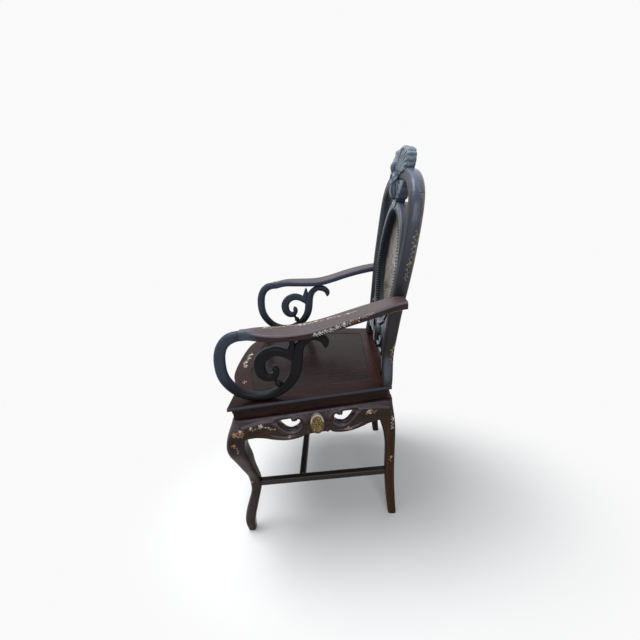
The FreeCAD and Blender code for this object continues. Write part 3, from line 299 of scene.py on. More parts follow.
@dataclass(frozen=True)
class Hardwood:
    """Polished dark hardwood, with a painted cool sky reflection that grows higher up and on what faces the sky."""

    name: str
    deep: Colour
    warm: Colour
    # Painted sky reflection on faces turned up, not a colour of the wood
    sky_reflection: Colour
    worn: Colour
    grain: Grain
    # Painted cool sheen that grows with height, a sky reflection painted in, not a bloom of the polish
    bloom: Colour = paint(0, 0, 0)
    painted_sheen_share: float = 0.0
    sky_reflection_share: float = 0.5
    gloss: float = 0.34
    painted_sheen_low: float = 0.55
    painted_sheen_high: float = 0.95
    sky_reflection_low: float = 0.15
    sky_reflection_high: float = 0.95
    round_over: float = 0.002
    shine: float = 0.2
    shelter: float = 0.03
    fibre: float = 0.07
    figure_scale: float = 55.0
    streak_scale: float = 240.0
    pore_scale: float = 1400.0
    cloud_scale: float = 9.0
    patch_scale: float = 45.0
    arris_reach: float = 0.0022
    relief_depth: float = 0.0003

    def tint(self, graph: Graph, body: Signal, parts: tuple[Signal, Signal, Signal]) -> Signal:
        """Change the colour where this wood differs from plain wood; plain wood is left as it is."""
        return body

    def matt(self, graph: Graph, parts: tuple[Signal, Signal, Signal]) -> "Signal | float":
        """How much rougher the wood is than its gloss says, by place."""
        return 0.0

    def material(self) -> bpy.types.Material:
        """Make the finish with its grain, pores, painted sky reflection and worn arrises.

        Returns:
            The material.
        """
        graph = Graph(self.name)
        place = graph.place()
        parts = graph.parts(place)
        along = parts[self.grain.value]
        beside, aside = [part for index, part in enumerate(parts) if index != self.grain.value]
        stretched = graph.node("CombineXYZ", {}, {0: along * self.fibre, 1: beside, 2: aside})
        figure = graph.noise(stretched, self.figure_scale, 5, 0.8).rise(0.32, 0.7)
        streak = graph.noise(stretched, self.streak_scale, 3, 0.3).rise(0.35, 0.72)
        pores = graph.noise(stretched, self.pore_scale, 2).rise(0.56, 0.72)
        cloud = graph.noise(place, self.cloud_scale, 3).rise(0.3, 0.72)
        patches = graph.noise(place, self.patch_scale, 4).rise(0.36, 0.66)
        body = graph.mix(figure * 0.65 + streak * 0.35, self.deep, self.warm)
        # Painted reflection: the cool sheen is painted on more strongly higher up
        body = graph.mix(parts[2].rise(self.painted_sheen_low, self.painted_sheen_high) * self.painted_sheen_share, body, self.bloom)
        body = self.tint(graph, body, parts)
        # Painted sky reflection on faces turned up; the openness keeps it out of hollows and holes, which stay dark as
        # painted shade
        open_air = graph.openness(self.shelter, 6).rise(0.35, 0.7)
        sky_reflection_mask = graph.facing_up().rise(self.sky_reflection_low, self.sky_reflection_high) * open_air
        body = graph.mix(sky_reflection_mask * self.sky_reflection_share * (0.7 + 0.3 * cloud), body, self.sky_reflection)
        body = graph.mix(pores * 0.5, body, self.deep)
        arris = graph.edges(self.arris_reach).rise(0.05, 0.3) * (0.25 + 0.75 * patches)
        body = graph.mix(arris * 0.55, body, self.worn)
        rough = self.gloss + 0.12 * streak + 0.1 * pores - 0.08 * cloud + 0.06 * arris + self.matt(graph, parts)
        relief = figure * 0.25 + streak * 0.35 - pores * 0.6
        return graph.finish({
            "Base Color": body,
            "Roughness": rough,
            "Normal": graph.bump(relief, 0.2, self.relief_depth, self.round_over),
            "Coat Weight": 0.06 - 0.04 * arris,
            "Coat Roughness": 0.15,
            "Specular IOR Level": self.shine,
        })


@dataclass(frozen=True)
class NosedWood(Hardwood):
    """Seat wood whose moulded nose has a painted pale highlight over painted shade in the hollow under it."""

    # Painted highlight on the moulded nose
    nose_highlight: Colour = paint(74, 79, 92)

    def tint(self, graph: Graph, body: Signal, parts: tuple[Signal, Signal, Signal]) -> Signal:
        """Paint a highlight on the nose and shade in the hollow under it.

        Args:
            graph: The finish's nodes.
            body: The colour so far.
            parts: Where it is, as three parts.

        Returns:
            The changed colour.
        """
        # Painted highlight on the nose's upright face, and painted shade in the hollow under it
        upright = graph.facing_up().rise(0.95, 0.7)
        nose_highlight = parts[2].rise(0.4705, 0.473) * upright
        hollow = parts[2].rise(0.4705, 0.4675) * parts[2].rise(0.463, 0.4665)
        body = graph.mix(hollow * 0.8, body, self.deep)
        return graph.mix(nose_highlight * 0.8, body, self.nose_highlight)


@dataclass(frozen=True)
class RearLegWood(Hardwood):
    """Wood of the rear legs, with painted shade making the faces turned to the front near-black."""

    # Painted shade on the faces turned to the front
    front: Colour = paint(20, 13, 11)

    def tint(self, graph: Graph, body: Signal, parts: tuple[Signal, Signal, Signal]) -> Signal:
        """Paint shade on what faces forward."""
        # Painted shade on faces turned forward, above the foot
        return graph.mix(parts[2].rise(0.1, 0.3) * graph.parts(graph.normal())[1].rise(-0.3, -0.7), body, self.front)


@dataclass(frozen=True)
class PostWood(Hardwood):
    """Wood of the posts and the arch, lighter at the front of the crown, with painted shade on the rest of the front, a
    painted tan highlight near the rear edge, and the dark seam where the two meet.
    """

    # Painted tan highlight, mottled, on faces turned part way to the rear higher up
    rub: Colour = paint(168, 134, 112)
    rear: Colour = paint(84, 66, 58)
    low: Colour = paint(30, 24, 24)
    seam: Colour = paint(14, 12, 14)
    seam_half: float = 0.0005

    def ahead(self, graph: Graph) -> Signal:
        """How far the surface faces forward out of the tilted back, from -1 to 1."""
        return graph.along(graph.normal(), (0.0, -math.cos(LEAN), math.sin(LEAN)))

    def matt(self, graph: Graph, parts: tuple[Signal, Signal, Signal]) -> Signal:
        """Duller towards the seat and in front."""
        return parts[2].rise(0.8, 0.58) * 0.28 + self.ahead(graph).rise(0.5, 0.85) * 0.45

    def tint(self, graph: Graph, body: Signal, parts: tuple[Signal, Signal, Signal]) -> Signal:
        """Lighten the front of the crown, paint shade on the front below it, turn the rear brown, paint a tan highlight
        near the rear edge, darken towards the seat and draw the seam.

        Args:
            graph: The finish's nodes.
            body: The colour so far.
            parts: Where it is, as three parts.

        Returns:
            The changed colour.
        """
        facing = self.ahead(graph)
        rub = graph.noise(graph.place(), 60, 4).rise(0.35, 0.65)
        front = facing.rise(0.7, 0.95)
        crown = parts[2].rise(0.945, 0.985)
        # Painted shade on the faces turned forward, except at the crown
        body = graph.mix(front * (0.75 - 0.75 * crown), body, self.deep)
        body = graph.mix(front * crown * (0.1 + 0.35 * rub), body, self.worn)
        body = graph.mix(facing.rise(-0.45, -0.9) * 0.55, body, self.rear)
        # Painted highlight along the rear edge, mottled by the same noise as the crown
        edge = facing.rise(-0.1, -0.4) * facing.rise(-0.95, -0.7) * parts[2].rise(0.72, 0.88)
        body = graph.mix(edge * (0.25 + 0.45 * rub), body, self.rub)
        body = graph.mix(parts[2].rise(0.68, 0.56) * 0.9, body, self.low)
        up = (parts[1] - SEAT_REAR * MM) * math.sin(LEAN) + (parts[2] - SEAT_HEIGHT * MM) * math.cos(LEAN)
        off = graph.size(SEAM_UP * up - SEAM_ACROSS * graph.size(parts[0]) - SEAM_REACH)
        chip = off.rise(0.0035, 0.001) * graph.noise(graph.place(), 150, 3).rise(0.5, 0.6)
        body = graph.mix(chip * 0.6, body, self.worn)
        return graph.mix(off.rise(2 * self.seam_half, self.seam_half) * 0.9, body, self.seam)


@dataclass(frozen=True)
class ArmWood(Hardwood):
    """Wood of the arms, purple-brown on top and outside, with a painted blue sky reflection on the inner sides, the far
    arm, the front and the loops, a painted highlight along the top outer edge, and darker towards the bottom.
    """

    # Painted blue sky reflection on the inner sides
    inner_sky_reflection: Colour = paint(46, 56, 74)
    # Painted blue-grey sky reflection on the front and the far arm
    front: Colour = paint(66, 76, 92)
    low: Colour = paint(20, 17, 17)
    # Painted highlight along the top outer edge
    arris: Colour = paint(104, 104, 120)

    def matt(self, graph: Graph, parts: tuple[Signal, Signal, Signal]) -> Signal:
        """Duller on the sitter's right."""
        return parts[0].rise(0.01, -0.01) * 0.2

    def tint(self, graph: Graph, body: Signal, parts: tuple[Signal, Signal, Signal]) -> Signal:
        """Paint a blue sky reflection on the inner sides, the far arm and the front, and a highlight along the top
        outer edge, and darken towards the bottom.

        Args:
            graph: The finish's nodes.
            body: The colour so far.
            parts: Where it is, as three parts.

        Returns:
            The changed colour.
        """
        outward = self.outward(graph, parts[0])
        # Painted sky reflection in blue on the inner sides, the far arm and the front, and a painted highlight on the
        # top outer edge
        body = graph.mix(outward.rise(-0.15, -0.4) * 0.85, body, self.inner_sky_reflection)
        line = outward.rise(0.3, 0.5) * graph.facing_up().rise(0.2, 0.45)
        body = graph.mix(line * 0.7, body, self.arris)
        body = graph.mix(parts[0].rise(0.01, -0.01) * 0.6, body, self.front)
        body = graph.mix(parts[1].rise(-0.125, -0.165), body, self.front)
        return graph.mix(parts[2].rise(0.62, 0.53) * 0.85, body, self.low)

    @staticmethod
    def outward(graph: Graph, across: Signal) -> Signal:
        """How far the surface faces away from the sitter, from -1 to 1."""
        side = across.rise(-0.01, 0.01) * 2 - 1
        return graph.parts(graph.normal())[0] * side


@dataclass(frozen=True)
class LoopWood(ArmWood):
    """Wood of the loops and their scrolls, with a painted blue sky reflection in front, black-brown behind and darker
    below.
    """

    def tint(self, graph: Graph, body: Signal, parts: tuple[Signal, Signal, Signal]) -> Signal:
        """Run from a painted blue sky reflection at the front of the loop to brown-black at its rear, and darken
        towards its foot.

        Args:
            graph: The finish's nodes.
            body: The colour so far.
            parts: Where it is, as three parts.

        Returns:
            The changed colour.
        """
        outward = self.outward(graph, parts[0])
        rear = parts[1].rise(-0.205, -0.155) * outward.rise(-0.3, 0.2)
        # Painted blue-grey sky reflection over the whole loop, taken off the outer faces behind
        body = graph.mix(0.85, body, self.front)
        body = graph.mix(rear * 0.9, body, self.deep)
        return graph.mix(parts[2].rise(0.58, 0.51) * 0.95, body, self.low)


@dataclass(frozen=True)
class Marble:
    """Honed grey-beige stone with brown and gold mottling low in the oval."""

    name: str = "mottled_marble"

    def material(self) -> bpy.types.Material:
        """Make the stone with its clouds, veins and specks.

        Returns:
            The material.
        """
        graph = Graph(self.name)
        place = graph.place()
        height = graph.parts(place)[2]
        cloud = graph.noise(place, 14, 6, 0.6)
        fine = graph.noise(place, 120, 5, 0.4)
        veins = graph.noise(place, 26, 7, 1.8)
        low = height.rise(0.95, 0.74)
        body = graph.mix(cloud.rise(0.32, 0.68), paint(122, 118, 117), paint(158, 154, 150))
        gold = (veins.rise(0.5, 0.66) * low).most(fine.rise(0.6, 0.75) * low * 0.6)
        body = graph.mix(gold * 0.85, body, paint(132, 112, 74))
        brown = graph.noise(place, 38, 6, 1.2).rise(0.5, 0.62) * (0.12 + 0.88 * low)
        body = graph.mix(brown * 0.85, body, paint(60, 52, 42))
        specks = graph.noise(place, 300, 4, 0.6)
        body = graph.mix(specks.rise(0.44, 0.34) * 0.45, body, paint(84, 74, 66))
        body = graph.mix(specks.rise(0.6, 0.75) * 0.6, body, paint(196, 190, 178))
        return graph.finish({
            "Base Color": body,
            "Roughness": 0.34 + 0.2 * fine,
            "Normal": graph.bump(fine, 0.12, 0.0004),
            "Coat Weight": 0.1 + 0.1 * cloud,
        })


@dataclass(frozen=True)
class Gilding:
    """Old gold on relief, rubbed bright in places and brown in the hollows."""

    name: str = "rubbed_gilding"

    def material(self) -> bpy.types.Material:
        """Make the gold with its dark hollows.

        Returns:
            The material.
        """
        graph = Graph(self.name)
        place = graph.place()
        hollow = 1 - graph.openness(0.005, 8).rise(0.45, 0.95)
        rub = graph.noise(place, 420, 4, 0.5)
        tarnish = graph.noise(place, 160, 4).rise(0.42, 0.66)
        dirt = hollow.most(tarnish * 0.7)
        body = graph.mix(rub.rise(0.42, 0.72), paint(96, 68, 32), paint(206, 186, 130))
        body = graph.mix(dirt, body, paint(34, 23, 11))
        return graph.finish({
            "Base Color": body,
            "Metallic": 0.75 - 0.6 * dirt,
            "Roughness": 0.34 + 0.3 * dirt + 0.1 * rub,
            "Normal": graph.bump(rub, 0.3, 0.0003),
        })


@dataclass(frozen=True)
class Shell:
    """Mother-of-pearl, from white to amber and rust, with a faint play of colour."""

    name: str
    amber: float
    light: Colour = paint(224, 219, 206)
    shade: Colour = paint(190, 184, 174)

    def material(self) -> bpy.types.Material:
        """Make the shell with its bands and its aged pieces.

        Returns:
            The material.
        """
        graph = Graph(self.name)
        place = graph.place()
        band = graph.noise(place, 210, 3, 2.0)
        body = graph.mix(band.rise(0.35, 0.65), self.light, self.shade)
        body = graph.mix(graph.noise(place, 330, 2).rise(0.55, 0.7) * 0.4, body, paint(176, 196, 184))
        aged = graph.noise(place, 34, 2).rise(0.62 - self.amber, 0.7 - self.amber)
        body = graph.mix(aged * 0.9, body, paint(164, 104, 52))
        wear = graph.noise(place, 520, 3).rise(0.52, 0.68)
        body = graph.mix(wear * 0.4, body, paint(96, 80, 58))
        return graph.finish({
            "Base Color": body,
            "Roughness": 0.26 + 0.25 * wear,
            "Coat Weight": 0.4 - 0.3 * wear,
            "Normal": graph.bump(band, 0.15, 0.0002),
        })


@dataclass(frozen=True)
class HighlitRim:
    """The rim of a medallion in dull gold, with a painted white highlight made as shell over its top half."""

    name: str = "rim_painted_highlight"
    middle: float = 0.402

    def material(self) -> bpy.types.Material:
        """Make the two halves with a ragged line between them.

        Returns:
            The material.
        """
        graph = Graph(self.name)
        place = graph.place()
        grit = graph.noise(place, 380, 3)
        # Painted highlight: the top half is painted white as shell, where light catches the rim
        painted_top_highlight = (graph.parts(place)[2] + 0.012 * grit).rise(self.middle, self.middle + 0.016)
        gold = graph.mix(grit.rise(0.35, 0.65), paint(62, 44, 24), paint(116, 88, 50))
        shell = graph.mix(grit.rise(0.3, 0.7), paint(226, 220, 206), paint(158, 150, 136))
        return graph.finish({
            "Base Color": graph.mix(painted_top_highlight, gold, shell),
            "Metallic": 0.5 - 0.5 * painted_top_highlight,
            "Roughness": 0.32 + 0.2 * grit,
            "Normal": graph.bump(grit, 0.25, 0.0003),
            "Coat Weight": 0.3 * painted_top_highlight,
        })


class Slot(Enum):
    """The record's material slots."""

    ROSEWOOD = "rosewood"
    CARVED_WOOD = "carved_wood"
    GILT = "gilt"
    SHELL = "mother_of_pearl"


class Finishes:
    """Every finish of the chair, made once and shared."""

    # Each wood's third colour is a painted sky reflection on faces turned up, and its bloom a painted cool sheen higher
    # up.
    def __init__(self) -> None:
        """Start with none made."""
        self._made: dict[str, bpy.types.Material] = {}

    def _keep(self, finish: Hardwood | Marble | Gilding | Shell | HighlitRim) -> bpy.types.Material:
        """Make a finish the first time it is asked for.

        Args:
            finish: The finish.

        Returns:
            Its material.
        """
        if finish.name not in self._made:
            self._made[finish.name] = finish.material()
        return self._made[finish.name]

    def seat_wood(self, grain: Grain) -> bpy.types.Material:
        """Red-brown wood of the seat and the waist."""
        return self._keep(NosedWood(
            "seat_wood_" + grain.name.lower(), paint(14, 8, 7), paint(52, 26, 20), paint(50, 27, 26),
            paint(112, 84, 74), grain, sky_reflection_share=0.45, gloss=0.28, shine=0.06,
        ))

    def panel_wood(self) -> bpy.types.Material:
        """Dull purple-brown wood of the floating panel."""
        return self._keep(Hardwood(
            "panel_wood", paint(17, 10, 10), paint(38, 25, 25), paint(34, 23, 24), paint(110, 92, 84),
            Grain.FORE_AND_AFT, gloss=0.22, shine=0.06,
        ))

    def leg_wood(self, grain: Grain) -> bpy.types.Material:
        """Brown wood of the legs and the aprons, with a painted sky reflection on their swelling tops."""
        return self._keep(Hardwood(
            "leg_wood_" + grain.name.lower(), paint(22, 12, 7), paint(60, 36, 22), paint(98, 92, 102),
            paint(126, 94, 66), grain, sky_reflection_share=0.85, gloss=0.28, sky_reflection_low=0.06, sky_reflection_high=0.5,
            round_over=0.004, shine=0.15, shelter=0.05,
        ))

    def rear_leg_wood(self) -> bpy.types.Material:
        """Warmer brown wood of the rear legs."""
        return self._keep(RearLegWood(
            "rear_leg_wood", paint(30, 17, 9), paint(76, 46, 26), paint(84, 80, 88), paint(132, 96, 62),
            Grain.UPRIGHT, sky_reflection_share=0.6, sky_reflection_low=0.1, sky_reflection_high=0.6, round_over=0.004, shine=0.1,
        ))

    def stretcher_wood(self, grain: Grain) -> bpy.types.Material:
        """Near-black wood of the stretchers."""
        return self._keep(Hardwood(
            "stretcher_wood_" + grain.name.lower(), paint(16, 12, 10), paint(44, 34, 30), paint(52, 50, 52),
            paint(92, 76, 62), grain, sky_reflection_share=0.4, gloss=0.3, round_over=0.004,
        ))

    def arm_wood(self) -> bpy.types.Material:
        """Wood of the armrests."""
        return self._keep(ArmWood(
            "arm_wood", paint(40, 27, 28), paint(70, 50, 50), paint(98, 86, 88), paint(130, 118, 116),
            Grain.FORE_AND_AFT, gloss=0.3, round_over=0.003, shine=0.14,
        ))

    def loop_wood(self) -> bpy.types.Material:
        """Wood of the loops and the scrolls."""
        return self._keep(LoopWood(
            "loop_wood", paint(20, 14, 11), paint(40, 32, 30), paint(70, 80, 96), paint(100, 106, 118),
            Grain.UPRIGHT, sky_reflection_share=0.3, gloss=0.36, round_over=0.003, shine=0.06,
        ))

    def back_wood(self, grain: Grain) -> bpy.types.Material:
        """Dark wood of the posts and the arch, with a painted blue-grey sky reflection higher up."""
        return self._keep(PostWood(
            "back_wood_" + grain.name.lower(), paint(26, 23, 26), paint(50, 44, 47), paint(100, 112, 134),
            paint(112, 100, 92), grain, bloom=paint(66, 74, 90), painted_sheen_share=0.85, sky_reflection_share=0.68,
            gloss=0.24, painted_sheen_low=0.62, painted_sheen_high=1.0, round_over=0.004, shine=0.25,
        ))

    def board_wood(self) -> bpy.types.Material:
        """Plain brown wood of the board behind the stone."""
        return self._keep(Hardwood(
            "board_wood", paint(28, 21, 20), paint(62, 47, 42), paint(70, 64, 66), paint(100, 82, 70),
            Grain.UPRIGHT, sky_reflection_share=0.4, gloss=0.4, shine=0.1,
        ))

    def bead_wood(self) -> bpy.types.Material:
        """Darker carved wood of the beads, with a painted cool sheen higher up."""
        return self._keep(Hardwood(
            "bead_wood", paint(17, 18, 21), paint(38, 41, 48), paint(110, 122, 136), paint(104, 116, 128),
            Grain.UPRIGHT, bloom=paint(88, 100, 116), painted_sheen_share=0.8, painted_sheen_low=0.6, painted_sheen_high=1.0,
            shine=0.14,
        ))

    def oval_wood(self) -> bpy.types.Material:
        """Dark wood of the oval frame, with less painted sky reflection than the carving."""
        return self._keep(Hardwood(
            "oval_wood", paint(14, 15, 17), paint(31, 33, 38), paint(98, 104, 116), paint(130, 132, 146),
            Grain.UPRIGHT, bloom=paint(64, 71, 80), painted_sheen_share=0.85, sky_reflection_share=0.6, gloss=0.3,
            painted_sheen_low=0.56, painted_sheen_high=1.0, round_over=0.004,
        ))

    def carved_wood(self) -> bpy.types.Material:
        """Near-black carved wood with a painted cool sky reflection."""
        return self._keep(Hardwood(
            "carved_wood", paint(15, 16, 18), paint(34, 36, 41), paint(132, 146, 160), paint(146, 158, 168),
            Grain.UPRIGHT, bloom=paint(98, 112, 126), painted_sheen_share=0.9, sky_reflection_share=0.75, gloss=0.3,
            painted_sheen_low=0.56, painted_sheen_high=1.0, sky_reflection_low=0.0, sky_reflection_high=0.8,
        ))

    def marble(self) -> bpy.types.Material:
        """The stone of the oval panel."""
        return self._keep(Marble())

    def gilding(self) -> bpy.types.Material:
        """The gold of the medallions."""
        return self._keep(Gilding())

    def shell(self, tone: "Tone") -> bpy.types.Material:
        """Pale shell, shell that has gone amber and rust, or shell worn thin and golden."""
        if tone is Tone.AMBER:
            return self._keep(Shell("amber_shell", 0.27))
        if tone is Tone.DIM:
            return self._keep(Shell("dim_shell", -0.3, paint(156, 148, 118), paint(112, 100, 72)))
        return self._keep(Shell("pale_shell", 0.06))

    def rim(self) -> bpy.types.Material:
        """The rim of a medallion: a painted white highlight on top, old gold below."""
        return self._keep(HighlitRim())


class Bench:
    """The moves with Blender's own tools that the new pieces are made with."""

    MERGE = 0.00001

    @staticmethod
    def clear() -> None:
        """Leave edit mode and select nothing."""
        if bpy.context.object and bpy.context.object.mode != "OBJECT":
            bpy.ops.object.mode_set(mode="OBJECT")
        bpy.ops.object.select_all(action="DESELECT")

    @staticmethod
    def take(*pieces: bpy.types.Object) -> None:
        """Select these pieces only, the first one active."""
        Bench.clear()
        for piece in pieces:
            piece.select_set(True)
        bpy.context.view_layer.objects.active = pieces[0]

    @staticmethod
    def mark(piece: bpy.types.Object, wanted: Callable[[Vector], bool], kind: str = "VERT") -> None:
        """Enter edit mode with the corners or faces selected whose place answers a test.

        Args:
            piece: The piece to edit.
            wanted: Says from a place whether it is selected.
            kind: VERT or FACE.
        """
        Bench.take(piece)
        bpy.ops.object.mode_set(mode="EDIT")
        bpy.ops.mesh.select_mode(type=kind)
        bpy.ops.mesh.select_all(action="DESELECT")
        bpy.ops.object.mode_set(mode="OBJECT")
        if kind == "VERT":
            for corner in piece.data.vertices:
                corner.select = wanted(corner.co)
        else:
            for face in piece.data.polygons:
                face.select = wanted(face.center)
        bpy.ops.object.mode_set(mode="EDIT")

    @staticmethod
    def open(piece: bpy.types.Object) -> None:
        """Enter edit mode with the whole piece selected.

        Args:
            piece: The piece to edit.
        """
        Bench.take(piece)
        bpy.ops.object.mode_set(mode="EDIT")
        bpy.ops.mesh.select_all(action="SELECT")

    @staticmethod
    def done() -> None:
        """Leave edit mode."""
        bpy.ops.object.mode_set(mode="OBJECT")

    @staticmethod
    def stamp(pattern: bpy.types.Object, place: Matrix) -> bpy.types.Object:
        """A copy of a pattern with its own mesh, put in place in its mesh.

        Args:
            pattern: What is copied.
            place: Where the copy goes.

        Returns:
            The copy.
        """
        mesh = pattern.data.copy()
        mesh.transform(place)
        piece = bpy.data.objects.new(pattern.name, mesh)
        bpy.context.scene.collection.objects.link(piece)
        return piece

    @staticmethod
    def join(pieces: Sequence[bpy.types.Object], name: str) -> bpy.types.Object:
        """Join pieces into one mesh.

        Args:
            pieces: The pieces, which are used up.
            name: The name of the whole.

        Returns:
            The joined piece.
        """
        Bench.take(*pieces)
        if len(pieces) > 1:
            bpy.ops.object.join()
        whole = bpy.context.object
        whole.name = name
        whole.data.name = name
        return whole

    @staticmethod
    def drop(*pieces: bpy.types.Object) -> None:
        """Throw away patterns that were only there to be copied."""
        for piece in pieces:
            bpy.data.objects.remove(piece)

    @staticmethod
    def outward(piece: bpy.types.Object) -> None:
        """Merge doubled corners and turn every face outwards.

        Args:
            piece: The piece to mend.
        """
        Bench.open(piece)
        bpy.ops.mesh.remove_doubles(threshold=Bench.MERGE)
        bpy.ops.mesh.normals_make_consistent(inside=False)
        Bench.done()

    @staticmethod
    def work(piece: bpy.types.Object, kind: str, **settings: object) -> None:
        """Put one modifier on a piece and apply it.

        Args:
            piece: The piece.
            kind: The modifier's type.
            settings: The modifier's properties.
        """
        Bench.take(piece)
        tool = piece.modifiers.new(kind.lower(), kind)
        for name, value in settings.items():
            setattr(tool, name, value)
        bpy.ops.object.modifier_apply(modifier=tool.name)

    @staticmethod
    def melt(pieces: Sequence[bpy.types.Object], name: str, grain: float = 1.3, rounds: int = 4) -> bpy.types.Object:
        """Run closed pieces together as if carved from one block, with soft arrises.

        Args:
            pieces: The pieces, which are used up.
            name: The name of the whole.
            grain: The finest step of the surface, in millimetres.
            rounds: How often the surface is rubbed down.

        Returns:
            The whole.
        """
        whole = Bench.join(pieces, name)
        Bench.work(whole, "REMESH", mode="VOXEL", voxel_size=grain * MM)
        Bench.work(whole, "SMOOTH", factor=0.5, iterations=rounds)
        return whole

    @staticmethod
    def shift(piece: bpy.types.Object, move: Callable[[Vector], Vector]) -> None:
        """Move every corner of a piece by a rule."""
        for corner in piece.data.vertices:
            corner.co = move(corner.co)

    @staticmethod
    def cut(piece: bpy.types.Object, cutter: bpy.types.Object) -> None:
        """Cut one closed piece out of another; the cutter is used up."""
        Bench.work(piece, "BOOLEAN", operation="DIFFERENCE", solver="EXACT", object=cutter)
        Bench.drop(cutter)

    @staticmethod
    def keep_side(piece: bpy.types.Object, spot: Vector, way: Vector) -> None:
        """Saw a piece along a plane, keep what lies on one side and close the cut.

        Args:
            piece: The piece.
            spot: A point of the plane.
            way: The plane's normal, towards the side that is kept.
        """
        Bench.open(piece)
        bpy.ops.mesh.bisect(plane_co=spot, plane_no=way, use_fill=True, clear_inner=True)
        Bench.done()

    @staticmethod
    def prism(outline: Sequence[Flat], depth: float, place: Matrix, name: str) -> bpy.types.Object:
        """Draw a closed prism from a flat outline.

        Args:
            outline: The corners, in metres.
            depth: How far it reaches to each side of the outline's plane, in metres.
            place: Puts the plane into the chair.
            name: The prism's name.

        Returns:
            The mesh.
        """
        Bench.clear()
        bpy.ops.curve.primitive_nurbs_path_add(radius=1, location=(0, 0, 0))
        line = bpy.context.object
        line.name = name
        line.data.dimensions = "2D"
        line.data.fill_mode = "BOTH"
        line.data.extrude = depth
        spline = line.data.splines[0]
        spline.type = "POLY"
        spline.points.add(len(outline) - len(spline.points))
        for point, (across, up) in zip(spline.points, outline):
            point.co = (across, up, 0, 1)
        spline.use_cyclic_u = True
        Bench.take(line)
        bpy.ops.object.convert(target="MESH")
        made = bpy.context.object
        made.data.transform(place)
        Bench.outward(made)
        return made

    @staticmethod
    def copy_of(node: bpy.types.Object) -> bpy.types.Object:
        """A merged copy of a solid of the frame, to be carved.

        Args:
            node: The solid.

        Returns:
            The copy.
        """
        piece = Bench.stamp(node, Matrix.Identity(4))
        Bench.open(piece)
        bpy.ops.mesh.remove_doubles(threshold=Bench.MERGE)
        Bench.done()
        return piece

    @staticmethod
    def hand_over(piece: bpy.types.Object, finish: bpy.types.Material, slot: Slot, angle: float = 50.0) -> None:
        """Finish a piece: put its place in its mesh, shade it, dress it and let it ride.

        Args:
            piece: The piece.
            finish: Its material.
            slot: The record's slot of that material; not used.
            angle: Edges sharper than this stay sharp, in degrees.
        """
        Bench.take(piece)
        bpy.ops.object.transform_apply(location=True, rotation=True, scale=True)
        bpy.ops.object.shade_smooth_by_angle(angle=math.radians(angle))
        piece.data.materials.clear()
        piece.data.materials.append(finish)
        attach(piece, "root")
        LOG.info("%s: %d faces", piece.name, len(piece.data.polygons))


class Surface:
    """The skin of one or more solids, on which carving and inlay are laid."""

    def __init__(self, *nodes: bpy.types.Object) -> None:
        """Read the solids' triangles."""
        corners: list[Vector] = []
        faces: list[tuple[int, ...]] = []
        for node in nodes:
            start = len(corners)
            corners += [corner.co.copy() for corner in node.data.vertices]
            faces += [tuple(start + index for index in face.vertices) for face in node.data.polygons]
        self.tree = BVHTree.FromPolygons(corners, faces)

    def touch(self, place: Vector, facing: Vector, reach: float = 0.08) -> Vector | None:
        """Where a line from in front of a place meets the skin.

        Args:
            place: A point near the skin.
            facing: The way that the skin faces there.
            reach: How far in front the line starts.

        Returns:
            The point on the skin, or None.
        """
        return self.tree.ray_cast(place + facing * reach, -facing, 2 * reach)[0]

    def distance(self, place: Vector) -> float:
        """Distance from a place to the skin."""
        return self.tree.find_nearest(place)[3]


@dataclass(frozen=True)
class Roll:
    """A carved roll of wood: its path, and its radius at the start, the middle and the end, in millimetres."""

    path: tuple[Point, ...]
    start: float
    middle: float
    end: float
    free: bool = False

    def radius(self, share: float) -> float:
        """The radius at a share of the way.

        Args:
            share: The share, 0 to 1.

        Returns:
            The radius in millimetres.
        """
        if share < 0.5:
            return self.start + (self.middle - self.start) * math.sin(math.pi * share)
        return self.end + (self.middle - self.end) * math.sin(math.pi * share)

    def model(self, name: str, place: Callable[[Point, float], Vector]) -> bpy.types.Object:
        """Draw the roll as a smooth tapering line and make it a closed mesh.

        Args:
            name: The piece's name.
            place: Puts a point of the path, with the radius there, into the chair.

        Returns:
            The mesh.
        """
        count = max(5, len(self.path))
        Bench.clear()
        bpy.ops.curve.primitive_nurbs_path_add(radius=1, location=(0, 0, 0))
        line = bpy.context.object
        line.name = name
        spline = line.data.splines[0]
        spline.points.add(count - len(spline.points))
        for index, point in enumerate(spline.points):
            share = index / (count - 1)
            radius = self.radius(share)
            at = share * (len(self.path) - 1)
            low = min(int(at), len(self.path) - 2)
            here = Vector(self.path[low]).lerp(Vector(self.path[low + 1]), at - low)
            point.co = (*place(tuple(here), radius), 1.0)
            point.radius = radius
        spline.order_u = 4
        spline.use_endpoint_u = True
        line.data.resolution_u = 5
        line.data.bevel_depth = MM
        line.data.bevel_resolution = 2
        line.data.use_fill_caps = True
        Bench.take(line)
        bpy.ops.object.convert(target="MESH")
        Bench.outward(bpy.context.object)
        return bpy.context.object


@dataclass
class Seat:
    """The framed seat with its panel and the waist under it."""

    nodes: Mapping[str, bpy.types.Object]
    finishes: Finishes
    across: tuple[str, ...] = ("seat_front_rail", "seat_rear_rail", "waist_front", "waist_rear")
    fore_and_aft: tuple[str, ...] = (
        "seat_left_rail", "seat_right_rail", "waist_left", "waist_right", "seat_batten_left", "seat_batten_right",
    )

    def dress(self) -> None:
        """Give every board its wood, with the grain along it."""
        for name in self.across:
            set_finish(self.nodes[name], self.finishes.seat_wood(Grain.ACROSS))
        for name in self.fore_and_aft:
            set_finish(self.nodes[name], self.finishes.seat_wood(Grain.FORE_AND_AFT))
        set_finish(self.nodes["seat_panel"], self.finishes.panel_wood())
        LOG.info("seat dressed")


def set_finish(node: bpy.types.Object, finish: bpy.types.Material) -> None:
    """Put one finish on a solid of the frame.

    Args:
        node: The solid.
        finish: Its material.
    """
    if node.data.materials:
        for index in range(len(node.data.materials)):
            node.data.materials[index] = finish
    else:
        node.data.materials.append(finish)


